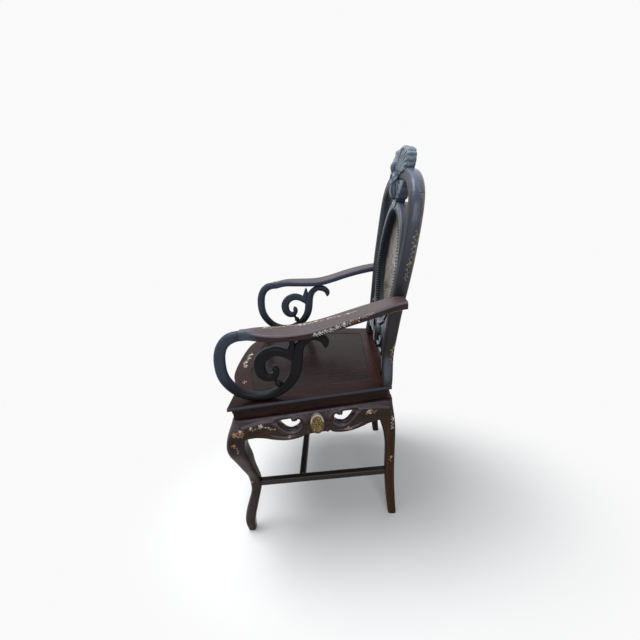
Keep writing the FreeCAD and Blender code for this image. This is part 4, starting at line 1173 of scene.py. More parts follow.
@dataclass
class Base:
    """Legs, stretchers and the scrolled aprons with their medallions."""

    nodes: dict[str, bpy.types.Object]
    finishes: Finishes
    apron_top: float = 434.0
    apron_depth: float = 92.0
    side_middle: float = -9.6
    side_half: float = 205.0
    front_half: float = 238.0
    proud: float = 5.0
    end_reach: float = 150.0
    end_draw: float = 3.0
    medallion_drop: float = 36.0
    medallion_half_height: float = 27.0
    medallion_half_width: float = 15.0
    flower_height: float = 3.0
    # Of each ring of petals: how many, how far out across and up, and their length, width and height
    flower_rings: tuple[tuple[int, float, float, float, float, float], ...] = (
        (1, 0.0, 0.0, 3.4, 3.4, 3.2), (5, 0.42, 0.3, 5.6, 4.4, 2.6), (8, 0.84, 0.72, 4.6, 3.6, 2.2),
    )
    # The paths of the scrolls over half an apron, as shares of its half length and depth, with their radii
    scrolls: tuple[tuple[tuple[Flat, ...], float, float, float], ...] = (
        (((0.66, 0.14), (0.57, 0.2), (0.52, 0.33), (0.47, 0.49), (0.41, 0.6), (0.34, 0.65), (0.265, 0.62),
          (0.205, 0.52), (0.172, 0.38), (0.18, 0.24), (0.21, 0.13), (0.255, 0.09), (0.29, 0.12), (0.306, 0.2)),
         3.0, 8.0, 5.0),
        (((0.58, 0.1), (0.5, 0.06), (0.42, 0.055), (0.36, 0.07), (0.31, 0.09)), 1.5, 3.5, 2.0),
        (((0.98, 0.24), (0.86, 0.2), (0.74, 0.16), (0.64, 0.14), (0.56, 0.15)), 4.0, 8.0, 3.0),
        (((0.62, 0.6), (0.54, 0.72), (0.44, 0.8), (0.34, 0.8), (0.24, 0.72)), 2.0, 6.0, 2.0),
        (((0.105, 0.6), (0.125, 0.7), (0.16, 0.64), (0.14, 0.55)), 1.0, 3.5, 1.0),
        (((0.13, 0.06), (0.13, 0.2), (0.125, 0.34), (0.12, 0.46)), 1.0, 3.0, 1.0),
    )
    # The height, the reach and the depth of the legs' sweep and of their swelling
    sweep: tuple[float, float, float] = (288.0, 42.0, 13.0)
    swell: tuple[float, float, float] = (178.0, 28.0, 5.5)
    leg_core: float = 318.0
    leg_half: float = 21.0
    shoulder_low: Point = (0.176, 0.158, 0.428)
    shoulder_high: Point = (0.2102, 0.1958, 0.4562)
    shoulder_draw: Point = (0.0035, 0.006, 0.0)
    side_slope: float = 0.169
    outside: float = 0.27
    board_middle: float = 246.5
    front_board: float = -262.0
    plug_half_depth: float = 4.5
    plug: tuple[Flat, ...] = (
        (0.56, 0.2), (0.5, 0.16), (0.36, 0.16), (0.24, 0.2), (0.21, 0.35), (0.25, 0.5), (0.33, 0.58), (0.42, 0.58),
        (0.5, 0.5), (0.55, 0.34),
    )
    eye: tuple[Flat, ...] = (
        (0.5, 0.135), (0.42, 0.125), (0.348, 0.125), (0.34, 0.18), (0.33, 0.235), (0.312, 0.268), (0.294, 0.278),
        (0.28, 0.255), (0.272, 0.212), (0.258, 0.178), (0.24, 0.178), (0.225, 0.22), (0.219, 0.3), (0.226, 0.37),
        (0.245, 0.44), (0.28, 0.5), (0.325, 0.525), (0.37, 0.505), (0.41, 0.445), (0.44, 0.37), (0.465, 0.29),
        (0.485, 0.21),
    )

    def dress(self) -> None:
        """Give legs, rails and aprons their wood."""
        for name, node in self.nodes.items():
            if name.startswith("rear_leg"):
                set_finish(node, self.finishes.rear_leg_wood())
            elif "_leg_" in name:
                set_finish(node, self.finishes.leg_wood(Grain.UPRIGHT))
            elif name in ("apron_front", "apron_rear"):
                set_finish(node, self.finishes.leg_wood(Grain.ACROSS))
            elif name == "cross_stretcher":
                set_finish(node, self.finishes.stretcher_wood(Grain.ACROSS))
            elif name.startswith("apron"):
                set_finish(node, self.finishes.leg_wood(Grain.FORE_AND_AFT))
            elif name.startswith("side_stretcher"):
                set_finish(node, self.finishes.stretcher_wood(Grain.FORE_AND_AFT))
            elif name.startswith("medallion_rim"):
                set_finish(node, self.finishes.rim())
            elif name.startswith("medallion"):
                set_finish(node, self.finishes.gilding())
        LOG.info("base dressed")

    def sweep_legs(self) -> None:
        """Draw the cabriole of the front legs out into one longer sweep, with rounded arrises."""
        for side, way in (("left", 1), ("right", -1)):
            name = "front_leg_" + side
            whole = Bench.melt([Bench.copy_of(self.nodes[name])], "swept_leg_" + side, 1.6, 6)
            Bench.shift(whole, lambda place: self.swept(place, way))
            Bench.hand_over(whole, self.finishes.leg_wood(Grain.UPRIGHT), Slot.ROSEWOOD, 80)
            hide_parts(name)
            self.nodes[name] = whole

    def swept(self, place: Vector, way: int) -> Vector:
        """Where a point of a front leg goes: inwards under the knee, outwards at the slim of the shin.

        Args:
            place: The point.
            way: 1 for the sitter's left, -1 for the right.

        Returns:
            Its new place.
        """
        outward = Vector((way, -1, 0)).normalized()
        share = (place.dot(outward) / MM - self.leg_core) / self.leg_half
        middle, reach, depth = self.sweep
        inwards = depth * math.exp(-((place.z / MM - middle) / reach) ** 2)
        middle, reach, depth = self.swell
        inwards -= depth * math.exp(-((place.z / MM - middle) / reach) ** 2) * min(max(share, 0.0), 1.0)
        return place - outward * inwards * MM

    def carve_apron(self, side: str) -> None:
        """Lay the rounded scrolls round the eyes of one apron.

        Args:
            side: left, right or front.
        """
        skin = Surface(self.nodes["apron_" + side])
        facing = {"left": Vector((1, 0, 0)), "right": Vector((-1, 0, 0)), "front": Vector((0, -1, 0))}[side]
        pieces = []
        for way in (-1, 1):
            for path, start, middle, end in self.scrolls:
                points = tuple((way * along, down, 0.0) for along, down in path)
                roll = Roll(points, start, middle, end)
                pieces.append(roll.model("scroll", lambda point, radius: self.on_apron(skin, side, facing,
                                                                                      point, radius)))
        grain = Grain.ACROSS if side == "front" else Grain.FORE_AND_AFT
        plugs = [self.eye_prism(side, way, self.plug, self.plug_half_depth) for way in (-1, 1)]
        whole = Bench.melt([self.drawn_out(side), *plugs, *pieces], "carved_apron_" + side)
        for way in (-1, 1):
            Bench.cut(whole, self.eye_prism(side, way, self.eye, 60.0))
        Bench.hand_over(whole, self.finishes.leg_wood(grain), Slot.ROSEWOOD, 80)
        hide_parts("apron_" + side)
        self.nodes["apron_" + side] = whole

    def eye_prism(self, side: str, way: int, outline: Sequence[Flat], half_depth: float) -> bpy.types.Object:
        """A prism across one eye of an apron.

        Args:
            side: left, right or front.
            way: 1 for the eye on the positive side of the apron's middle, -1 for the other.
            outline: Its corners, as shares of the apron's half length and depth.
            half_depth: How far it reaches to each side of the board's middle, in millimetres.

        Returns:
            The prism.
        """
        front = side == "front"
        middle, half = (0.0, self.front_half) if front else (self.side_middle, self.side_half)
        outline = [((middle + way * along * half) * MM, (self.apron_top - down * self.apron_depth) * MM)
                   for along, down in outline]
        slope = 0.0 if front else self.side_slope
        beside = Vector((1, 0, 0)) if front else Vector((-slope if side == "left" else slope, 1, 0))
        over = Vector((0, 0, 1))
        turn = Matrix((beside, over, beside.cross(over))).transposed().to_4x4()
        start = {
            "left": Vector((self.board_middle, 0, 0)),
            "right": Vector((-self.board_middle, 0, 0)),
            "front": Vector((0, self.front_board, 0)),
        }[side] * MM
        return Bench.prism(outline, half_depth * MM, Matrix.Translation(start) @ turn, "eye_prism")

    def shoulders(self) -> None:
        """Fill the corners between the waist boards over the rear legs."""
        for side, way in (("left", 1), ("right", -1)):
            Bench.clear()
            bpy.ops.mesh.primitive_cube_add(size=1, location=(0, 0, 0))
            block = bpy.context.object
            block.name = "rear_shoulder_" + side
            low, high = Vector(self.shoulder_low), Vector(self.shoulder_high)
            middle = (low + high) / 2
            Bench.open(block)
            bpy.ops.transform.resize(value=high - low)
            bpy.ops.transform.translate(value=(middle.x * way, middle.y, middle.z))
            Bench.done()
            Bench.mark(block, lambda place: place.z < middle.z)
            across, deep, up = self.shoulder_draw
            bpy.ops.transform.translate(value=(across * way, deep, up))
            Bench.done()
            Bench.work(block, "BEVEL", width=0.003, segments=3)
            Bench.hand_over(block, self.finishes.leg_wood(Grain.UPRIGHT), Slot.ROSEWOOD)
            self.nodes[block.name] = block

    def drawn_out(self, side: str) -> bpy.types.Object:
        """A copy of an apron, drawn out a little so that its softened ends stay in the legs.

        Args:
            side: left, right or front.

        Returns:
            The copy.
        """
        piece = Bench.copy_of(self.nodes["apron_" + side])
        axis = 0 if side == "front" else 1
        middle = 0.0 if side == "front" else self.side_middle * MM
        for way in (-1, 1):
            Bench.mark(piece, lambda place: way * (place[axis] - middle) > self.end_reach * MM)
            step = [0.0, 0.0, 0.0]
            step[axis] = way * self.end_draw * MM
            bpy.ops.transform.translate(value=step)
            Bench.done()
        return piece

    def on_apron(self, skin: Surface, side: str, facing: Vector, point: Point, radius: float) -> Vector:
        """The middle of a roll that stands a little proud of an apron.

        Args:
            skin: The apron's surface.
            side: left, right or front.
            facing: The way its face looks.
            point: The place, across and down, as shares of the apron.
            radius: The roll's, in millimetres.

        Returns:
            The roll's middle.
        """
        height = (self.apron_top - point[1] * self.apron_depth) * MM
        if side == "front":
            start = Vector((point[0] * self.front_half * MM, -self.outside, height))
        else:
            start = Vector((facing.x * self.outside, (self.side_middle + point[0] * self.side_half) * MM, height))
        found = skin.touch(start, facing)
        if found is None:
            return self.beside(skin, start, facing)
        return found + facing * (min(self.proud, radius) - radius) * MM

    def beside(self, skin: Surface, start: Vector, facing: Vector) -> Vector:
        """The nearest point of the apron for a place over one of its openings, set back from its face.

        Args:
            skin: The apron's surface.
            start: A place over the opening.
            facing: The way its face looks.

        Returns:
            The point, or the start if there is none near.
        """
        ways, rings, step, set_back = 8, 40, 0.0005, 0.003
        for ring in range(1, rings):
            for turn in range(ways):
                angle = 2 * math.pi * turn / ways
                aside = Vector((-facing.y, facing.x, 0)) * math.cos(angle) + Vector((0, 0, 1)) * math.sin(angle)
                found = skin.touch(start + aside * ring * step, facing)
                if found is not None:
                    return found - facing * set_back
        return start

    def flower(self, side: str) -> None:
        """Carve a round flower in a wreath of leaves on one medallion.

        Args:
            side: left, right or front.
        """
        if side == "front":
            self.let_in("medallion_front")
        low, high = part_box("medallion_" + side)
        middle = (low + high) / 2
        middle.z = (self.apron_top - self.medallion_drop) * MM
        slope = math.atan(self.side_slope)
        facing = {
            "left": Vector((math.cos(slope), math.sin(slope), 0)),
            "right": Vector((-math.cos(slope), math.sin(slope), 0)),
            "front": Vector((0, -1, 0)),
        }[side]
        skin = Surface(self.nodes["medallion_" + side])
        petal = self.petal()
        beside = Vector((0, 0, 1)).cross(facing).normalized()
        stamps = []
        for count, out_wide, out_tall, length, width, stand in self.flower_rings:
            for index in range(count):
                angle = 2 * math.pi * (index + 0.5 * (count % 2)) / count
                across = math.cos(angle) * out_wide * self.medallion_half_width * MM
                rise = math.sin(angle) * out_tall * self.medallion_half_height * MM
                place = middle + beside * across + Vector((0, 0, rise))
                found = skin.touch(place, facing)
                if found is None:
                    continue
                away = (beside * across + Vector((0, 0, rise))).normalized() if count > 1 else beside
                turn = Matrix((away, facing.cross(away), facing)).transposed().to_4x4()
                size = Matrix.Diagonal((length * MM, width * MM, stand * MM, 1))
                stamps.append(Bench.stamp(petal, Matrix.Translation(found) @ turn @ size))
        Bench.drop(petal)
        whole = Bench.join(stamps, "flower_" + side)
        Bench.hand_over(whole, self.finishes.gilding(), Slot.GILT)

    def let_in(self, name: str) -> None:
        """Let the front medallion in by the height of its flower, so that the chair grows no deeper.

        Args:
            name: The medallion's node.
        """
        piece = Bench.copy_of(self.nodes[name])
        piece.name = "let_in_" + name
        Bench.shift(piece, lambda place: place + Vector((0, self.flower_height * MM, 0)))
        Bench.hand_over(piece, self.finishes.gilding(), Slot.GILT)
        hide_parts(name)
        self.nodes[name] = piece

    @staticmethod
    def petal() -> bpy.types.Object:
        """A blunt petal with a crease down its middle, one unit in half length.

        Returns:
            The petal.
        """
        Bench.clear()
        bpy.ops.mesh.primitive_uv_sphere_add(segments=10, ring_count=6, radius=1, location=(0, 0, 0))
        made = bpy.context.object
        made.name = "petal"
        Bench.mark(made, lambda place: place.x > 0.7)
        bpy.ops.transform.translate(value=(0.12, 0, 0))
        Bench.done()
        Bench.mark(made, lambda place: abs(place.y) < 0.2 and place.z > 0.4)
        bpy.ops.transform.translate(value=(0, 0, -0.28))
        Bench.done()
        return made


@dataclass
class Back:
    """Posts, arch, oval frame with its beads and stone, and the carved crest, pendant and rail."""

    nodes: dict[str, bpy.types.Object]
    finishes: Finishes
    oval_middle: float = 290.0
    mouth_half_width: float = 150.0
    mouth_half_height: float = 162.0
    mouth_front: float = 29.4
    bead_pitch: float = 8.6
    bead_half_depth: float = 7.6
    bead_half_width: float = 3.3
    bead_half_height: float = 4.4
    bead_inset: float = 2.4
    crest_face: float = 31.0
    crest_slim: tuple[Flat, ...] = (
        (474, 0.0), (508, 0.1), (525, 0.5), (545, 0.65), (560, 0.55), (575, 0.3), (592, 0.0),
    )
    crest_rear: Flat = (0.4, 14.0)
    crest_rolls: tuple[Roll, ...] = (
        # A fan of lobes from the middle out, each over the edge and down the rear
        Roll(((5, 562, 60), (8, 580, 60), (11, 593, 44), (11, 597, 32), (11, 597, 20), (10, 593, 14)), 3, 8, 5),
        Roll(((11, 556, 60), (24, 576, 50), (34, 590, 42), (37, 595, 32), (37, 596, 18), (35, 591, 10)), 3, 9, 6),
        Roll(((16, 552, 60), (38, 569, 48), (55, 584, 42), (60, 590, 32), (61, 590, 20), (58, 586, 13)), 3, 9, 5),
        Roll(((20, 549, 60), (50, 562, 48), (74, 577, 42), (82, 584, 32), (83, 584, 18), (80, 580, 10)), 3, 8, 6),
        Roll(((24, 546, 58), (60, 558, 46), (88, 571, 40), (97, 576, 32), (98, 576, 20), (94, 574, 13)), 3, 7, 5),
        Roll(((30, 545, 56), (66, 552, 44), (92, 561, 40), (100, 563, 32), (101, 563, 18), (97, 563, 10)),
             3, 6.5, 5.5),
        Roll(((40, 544, 50), (72, 547, 42), (92, 551, 38), (99, 551, 30), (100, 551, 20), (96, 552, 13)), 3, 6, 5),
        Roll(((56, 540, 46), (78, 540, 40), (90, 541, 38), (95, 541, 30), (96, 541, 18), (92, 542, 11)), 2.5, 5.5, 4.5),
        # Flutes of the middle leaf
        Roll(((0, 592, 60), (0, 576, 60), (0, 552, 60), (0, 526, 60), (0, 500, 60), (0, 478, 60)), 2.5, 4.0, 2),
        Roll(((9, 590, 60), (12, 574, 60), (14, 552, 60), (13, 528, 60), (9, 506, 60), (5, 484, 60)), 2, 4.2, 1.5),
        Roll(((19, 584, 35), (22, 572, 37), (23, 556, 37), (23, 540, 37), (21, 524, 40), (17, 508, 43), (13, 494, 44)),
             2, 3.8, 2, True),
        Roll(((27, 588, 31), (29, 574, 32), (30, 556, 32), (29, 538, 32), (26, 522, 35), (22, 508, 39)),
             2.5, 4.2, 2.5, True),
        # The bud, and the curls under it
        Roll(((0, 569, 42), (0, 562, 45), (0, 554, 45.5), (0, 546, 44), (0, 539, 40)), 4, 9, 4, True),
        Roll(((6, 540, 42), (13, 536, 45), (20, 530, 44), (22, 522, 43), (17, 517, 45), (12, 521, 46)),
             2, 4.5, 3, True),
        Roll(((10, 514, 47), (17, 512, 46), (24, 516, 42), (28, 523, 38), (30, 531, 34)), 3, 4.5, 2, True),
    )
    claw_rolls: tuple[Roll, ...] = (
        Roll(((0, 516, 47), (0, 504, 46), (0, 493, 43), (0, 483, 40), (0, 475, 37)), 4, 5, 3.6, True),
        Roll(((9, 516, 44), (10, 504, 43), (10.5, 493, 41), (10, 483, 38), (9, 476, 35)), 4, 5, 3.6, True),
        Roll(((18, 518, 39), (20, 506, 38), (21, 495, 36), (20, 485, 33), (18, 478, 31)), 4, 5, 3.6, True),
        Roll(((26, 520, 32), (30, 508, 32), (31, 497, 30), (30, 488, 28), (28, 481, 26)), 4, 5, 3.6, True),
    )
    pendant_rolls: tuple[Roll, ...] = (
        Roll(((14, 502, 60), (21, 494, 60), (25, 484, 60), (26, 475, 60), (24, 467, 60)), 2, 4.2, 2),
        Roll(((20, 506, 60), (31, 500, 60), (37, 490, 60), (39, 480, 60), (38, 472, 60)), 2, 4.6, 2),
        Roll(((26, 512, 60), (42, 508, 60), (50, 498, 60), (53, 488, 60), (52, 480, 60)), 2, 4.8, 2),
        Roll(((30, 518, 60), (50, 517, 60), (62, 510, 60), (68, 500, 60), (69, 490, 60)), 2, 4.8, 2),
    )
    rail_rolls: tuple[Roll, ...] = (
        Roll(((8, 34, 40), (30, 48, 40), (47, 70, 40), (46, 98, 40), (32, 114, 40), (12, 112, 40), (6, 96, 40)),
             4, 8.5, 5),
        Roll(((44, 56, 40), (72, 52, 40), (100, 66, 40), (114, 92, 40), (106, 118, 40), (86, 126, 40), (76, 112, 40)),
             4, 9, 5),
        Roll(((96, 54, 40), (126, 50, 40), (152, 66, 40), (164, 94, 40), (160, 124, 40), (140, 140, 40)), 4, 9, 5),
        Roll(((150, 54, 40), (166, 44, 40), (174, 26, 40), (172, 12, 40), (168, 6, 40)), 4, 7.5, 4),
        Roll(((0, 138, 40), (24, 140, 40), (48, 142, 40), (72, 144, 40), (96, 142, 40)), 4, 6, 4),
        Roll(((0, 96, 40), (0, 90, 40), (0, 80, 40), (0, 66, 40), (0, 50, 40), (0, 40, 40)), 3, 9, 3),
    )

    def place(self, point: Point) -> Vector:
        """A point of the flat back, across, up and forward in millimetres, put into the leaning back.

        Args:
            point: The point.

        Returns:
            Its place in the chair, in metres.
        """
        across, up, forward = point
        return Vector((
            across,
            SEAT_REAR + up * math.sin(LEAN) - forward * math.cos(LEAN),
            SEAT_HEIGHT + up * math.cos(LEAN) + forward * math.sin(LEAN),
        )) * MM

    def flat(self, place: Vector) -> Point:
        """A place in the chair as a point of the flat back: across, up and forward in millimetres.

        Args:
            place: The place, in metres.

        Returns:
            The point.
        """
        deep = place.y / MM - SEAT_REAR
        high = place.z / MM - SEAT_HEIGHT
        return (place.x / MM, deep * math.sin(LEAN) + high * math.cos(LEAN),
                high * math.sin(LEAN) - deep * math.cos(LEAN))

    def round_rails(self) -> None:
        """Rub the arrises of the posts and the arch round, with their two seams kept closed."""
        names = ("back_post_left", "back_post_right", "back_arch")
        whole = Bench.melt([Bench.copy_of(self.nodes[name]) for name in names], "horseshoe", 1.7, 34)
        for name in names:
            piece = Bench.stamp(whole, Matrix.Identity(4))
            keep = 1 if name == "back_arch" else -1
            for way in (1, -1):
                if name == ("back_post_right" if way > 0 else "back_post_left"):
                    continue
                over = Vector((-SEAM_ACROSS * way, SEAM_UP * math.sin(LEAN), SEAM_UP * math.cos(LEAN)))
                spot = self.place((0, SEAM_REACH / SEAM_UP / MM, 0))
                Bench.keep_side(piece, spot, over * keep)
            if keep < 0:
                Bench.keep_side(piece, Vector(), Vector((1 if name == "back_post_left" else -1, 0, 0)))
            piece.name = name.replace("back", "rounded")
            piece.data.name = piece.name
            grain = Grain.ACROSS if name == "back_arch" else Grain.UPRIGHT
            Bench.hand_over(piece, self.finishes.back_wood(grain), Slot.ROSEWOOD)
            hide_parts(name)
            self.nodes[name] = piece
        Bench.drop(whole)

    def crest_block(self) -> bpy.types.Object:
        """The crest's block, hollowed behind the bud and set in from the rear of the arch.

        Returns:
            The block.
        """
        block = Bench.melt([Bench.copy_of(self.nodes["crest_carving"])], "crest_block", 1.3, 1)
        Bench.shift(block, self.slimmed)
        return block

    def slimmed(self, place: Vector) -> Vector:
        """Where a corner of the crest's block goes.

        Args:
            place: Where the corner is.

        Returns:
            Its new place.
        """
        across, up, forward = self.flat(place)
        if forward > self.crest_face:
            for (low, less), (high, more) in zip(self.crest_slim, self.crest_slim[1:]):
                if low <= up < high:
                    share = less + (more - less) * (up - low) / (high - low)
                    forward -= (forward - self.crest_face) * share
        elif forward < self.crest_rear[1]:
            forward = self.crest_rear[1] - (self.crest_rear[1] - forward) * self.crest_rear[0]
        return self.place((across, up, forward))

    def facing(self) -> Vector:
        """The way the back faces."""
        return Vector((0, -math.cos(LEAN), math.sin(LEAN)))

    def dress(self) -> None:
        """Give the posts, the arch, the carved pieces and the stone their finishes."""
        upright = ("back_post_left", "back_post_right", "oval_spacer_left", "oval_spacer_right")
        for name in upright:
            set_finish(self.nodes[name], self.finishes.back_wood(Grain.UPRIGHT))
        set_finish(self.nodes["back_arch"], self.finishes.back_wood(Grain.ACROSS))
        set_finish(self.nodes["stone_back_board"], self.finishes.board_wood())
        for name in ("crest_carving", "crest_pendant", "lower_carving", "bead_border"):
            set_finish(self.nodes[name], self.finishes.carved_wood())
        set_finish(self.nodes["oval_frame"], self.finishes.oval_wood())
        set_finish(self.nodes["stone_panel"], self.finishes.marble())
        LOG.info("back dressed")

    def beads(self) -> None:
        """Set the row of long beads round the mouth of the oval."""
        Bench.clear()
        bpy.ops.mesh.primitive_uv_sphere_add(segments=8, ring_count=6, radius=1, location=(0, 0, 0))
        bead = bpy.context.object
        bead.name = "bead"
        Bench.mark(bead, lambda place: abs(place.z) > 0.4)
        bpy.ops.transform.resize(value=(1.25, 1.25, 1))
        Bench.done()
        length = 2 * math.pi * math.sqrt((self.mouth_half_width ** 2 + self.mouth_half_height ** 2) / 2)
        count = round(length / self.bead_pitch)
        stamps = []
        for angle in self.even_angles(count):
            across = math.cos(angle) * (self.mouth_half_width - self.bead_inset)
            up = math.sin(angle) * (self.mouth_half_height - self.bead_inset)
            along = Vector((-math.sin(angle) * self.mouth_half_width, 0, math.cos(angle) * self.mouth_half_height))
            along.normalize()
            along = Matrix.Rotation(-LEAN, 3, "X") @ along
            deep = self.facing()
            inward = deep.cross(along)
            turn = Matrix((along, inward, deep)).transposed().to_4x4()
            size = Matrix.Diagonal((self.bead_half_width * MM, self.bead_half_height * MM,
                                    self.bead_half_depth * MM, 1))
            middle = self.place((across, self.oval_middle + up, self.mouth_front - self.bead_half_depth))
            stamps.append(Bench.stamp(bead, Matrix.Translation(middle) @ turn @ size))
        Bench.drop(bead)
        ring = Bench.join(stamps, "bead_row")
        Bench.hand_over(ring, self.finishes.bead_wood(), Slot.CARVED_WOOD, 80)
        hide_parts("bead_border")

    def even_angles(self, count: int) -> list[float]:
        """Angles round the oval that lie evenly along its edge.

        Args:
            count: How many.

        Returns:
            The angles in radians, from the sitter's left.
        """
        steps = 2000
        lengths = [0.0]
        for step in range(steps):
            angle = 2 * math.pi * (step + 0.5) / steps
            speed = math.hypot(math.sin(angle) * self.mouth_half_width, math.cos(angle) * self.mouth_half_height)
            lengths.append(lengths[-1] + speed)
        angles = []
        step = 0
        for index in range(count):
            while lengths[step] < lengths[-1] * index / count:
                step += 1
            angles.append(2 * math.pi * step / steps)
        return angles

    def carve(self, node: str, block: bpy.types.Object, rolls: Iterable[Roll], name: str, proud: float) -> None:
        """Carve rolls into the front of a piece, on both of its halves.

        Args:
            node: The solid that the carved piece stands for.
            block: The block that is carved, which is used up.
            rolls: The rolls of the left half.
            name: The name of the carved piece.
            proud: How far they stand out, in millimetres.
        """
        skin = Surface(block)
        facing = self.facing()

        def settle(point: Point, radius: float) -> Vector:
            """The middle of a roll where it stands proud of the block, or where it is if it lies deeper.

            Args:
                point: The roll's place in the flat back.
                radius: Its radius in millimetres.

            Returns:
                The middle in the chair.
            """
            start = self.place((point[0], point[1], 0))
            found = skin.touch(start, facing)
            flat = self.place(point)
            if found is None:
                return self.pulled_in(skin, flat)
            ahead = (flat - found).dot(facing)
            if ahead < 0:
                return flat
            return found + facing * (min(proud, radius) - radius) * MM

        pieces = [block]
        for roll in rolls:
            ways = (1, -1) if any(point[0] for point in roll.path) else (1,)
            for way in ways:
                turned = Roll(tuple((way * x, up, forward) for x, up, forward in roll.path),
                              roll.start, roll.middle, roll.end)
                rule = (lambda point, radius: self.place(point)) if roll.free else settle
                pieces.append(turned.model("roll", rule))
        whole = Bench.melt(pieces, name, 1.2, 3)
        Bench.hand_over(whole, self.finishes.carved_wood(), Slot.CARVED_WOOD, 80)
        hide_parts(node)
        self.nodes[node] = whole

    @staticmethod
    def pulled_in(skin: Surface, place: Vector) -> Vector:
        """A place drawn to the skin where it lies off it."""
        nearest = skin.tree.find_nearest(place)[0]
        return nearest if (nearest - place).length > 0.004 else place


@dataclass
class Arms:
    """The flat armrests and the scrolled loops in front of them."""

    nodes: dict[str, bpy.types.Object]
    finishes: Finishes
    loop_plane: float = 254.0
    loop_flare: float = 0.02
    loop_toe_in: float = 0.083
    loop_reach: float = 442.0
    loop_plane_reach: float = 332.0
    loop_length: float = 195.0
    loop_height: float = 177.0
    hook: Roll = Roll(((1.13, 0.925, 0), (1.19, 0.955, 0), (1.25, 0.96, 0), (1.32, 0.945, 0), (1.375, 0.9, 0),
                       (1.395, 0.85, 0), (1.38, 0.8, 0), (1.365, 0.79, 0)), 8, 11.5, 5)
    bud: Roll = Roll(((0.95, 0.74, 0), (0.945, 0.8, 0), (0.95, 0.86, 0), (0.957, 0.92, 0), (0.968, 0.99, 0)), 6, 9, 0.8)
    curl: Roll = Roll(((0.7, 0.45, 0), (0.705, 0.48, 0), (0.698, 0.505, 0), (0.68, 0.525, 0), (0.667, 0.53, 0)),
                      6, 10.5, 6)

    def dress(self) -> None:
        """Give the armrests and their dowels their wood."""
        for name, node in self.nodes.items():
            if name.startswith("armrest"):
                set_finish(node, self.finishes.arm_wood())
            elif name.startswith("arm_dowel"):
                set_finish(node, self.finishes.loop_wood())
        LOG.info("arms dressed")

    def place(self, point: Point, way: int) -> Vector:
        """A point of a loop, from shares of its length and height.

        Args:
            point: How far back and how far up, as shares.
            way: 1 for the sitter's left, -1 for the right.

        Returns:
            The place in the chair.
        """
        y = SEAT_REAR - self.loop_reach + point[0] * self.loop_length
        height = point[1] * self.loop_height
        reach = y - SEAT_REAR + self.loop_plane_reach
        across = self.loop_plane + self.loop_flare * height - self.loop_toe_in * reach
        return Vector((way * across, y, SEAT_HEIGHT + height)) * MM

    def carve(self) -> None:
        """Round the loops and the scrolls, and fill out their tips."""
        for side, way in (("left", 1), ("right", -1)):
            for node, name, rolls in (("arm_loop_" + side, "carved_loop_" + side, (self.hook,)),
                                      ("arm_scroll_" + side, "carved_scroll_" + side, (self.bud, self.curl))):
                pieces = [Bench.copy_of(self.nodes[node])]
                pieces += [roll.model("roll", lambda point, radius: self.place(point, way)) for roll in rolls]
                whole = Bench.melt(pieces, name, 1.4, 3)
                Bench.hand_over(whole, self.finishes.loop_wood(), Slot.CARVED_WOOD, 80)
                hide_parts(node)
                self.nodes[node] = whole


class Tone(Enum):
    """The look of a spray's shell: fresh, aged or worn thin."""

    PALE = "pale"
    AMBER = "amber"
    DIM = "dim"


@dataclass(frozen=True)
class Spray:
    """A spray of inlaid shell: where its stem runs on the sitter's left, in millimetres, and what it bears."""

    name: str
    hosts: tuple[str, ...]
    facing: Point
    stem: tuple[Point, ...]
    leaves: int
    flowers: tuple[float, ...] = ()
    leaf: float = 6.0
    tone: Tone = Tone.PALE
    bloom: float = 0.0
    mirrored: bool = True


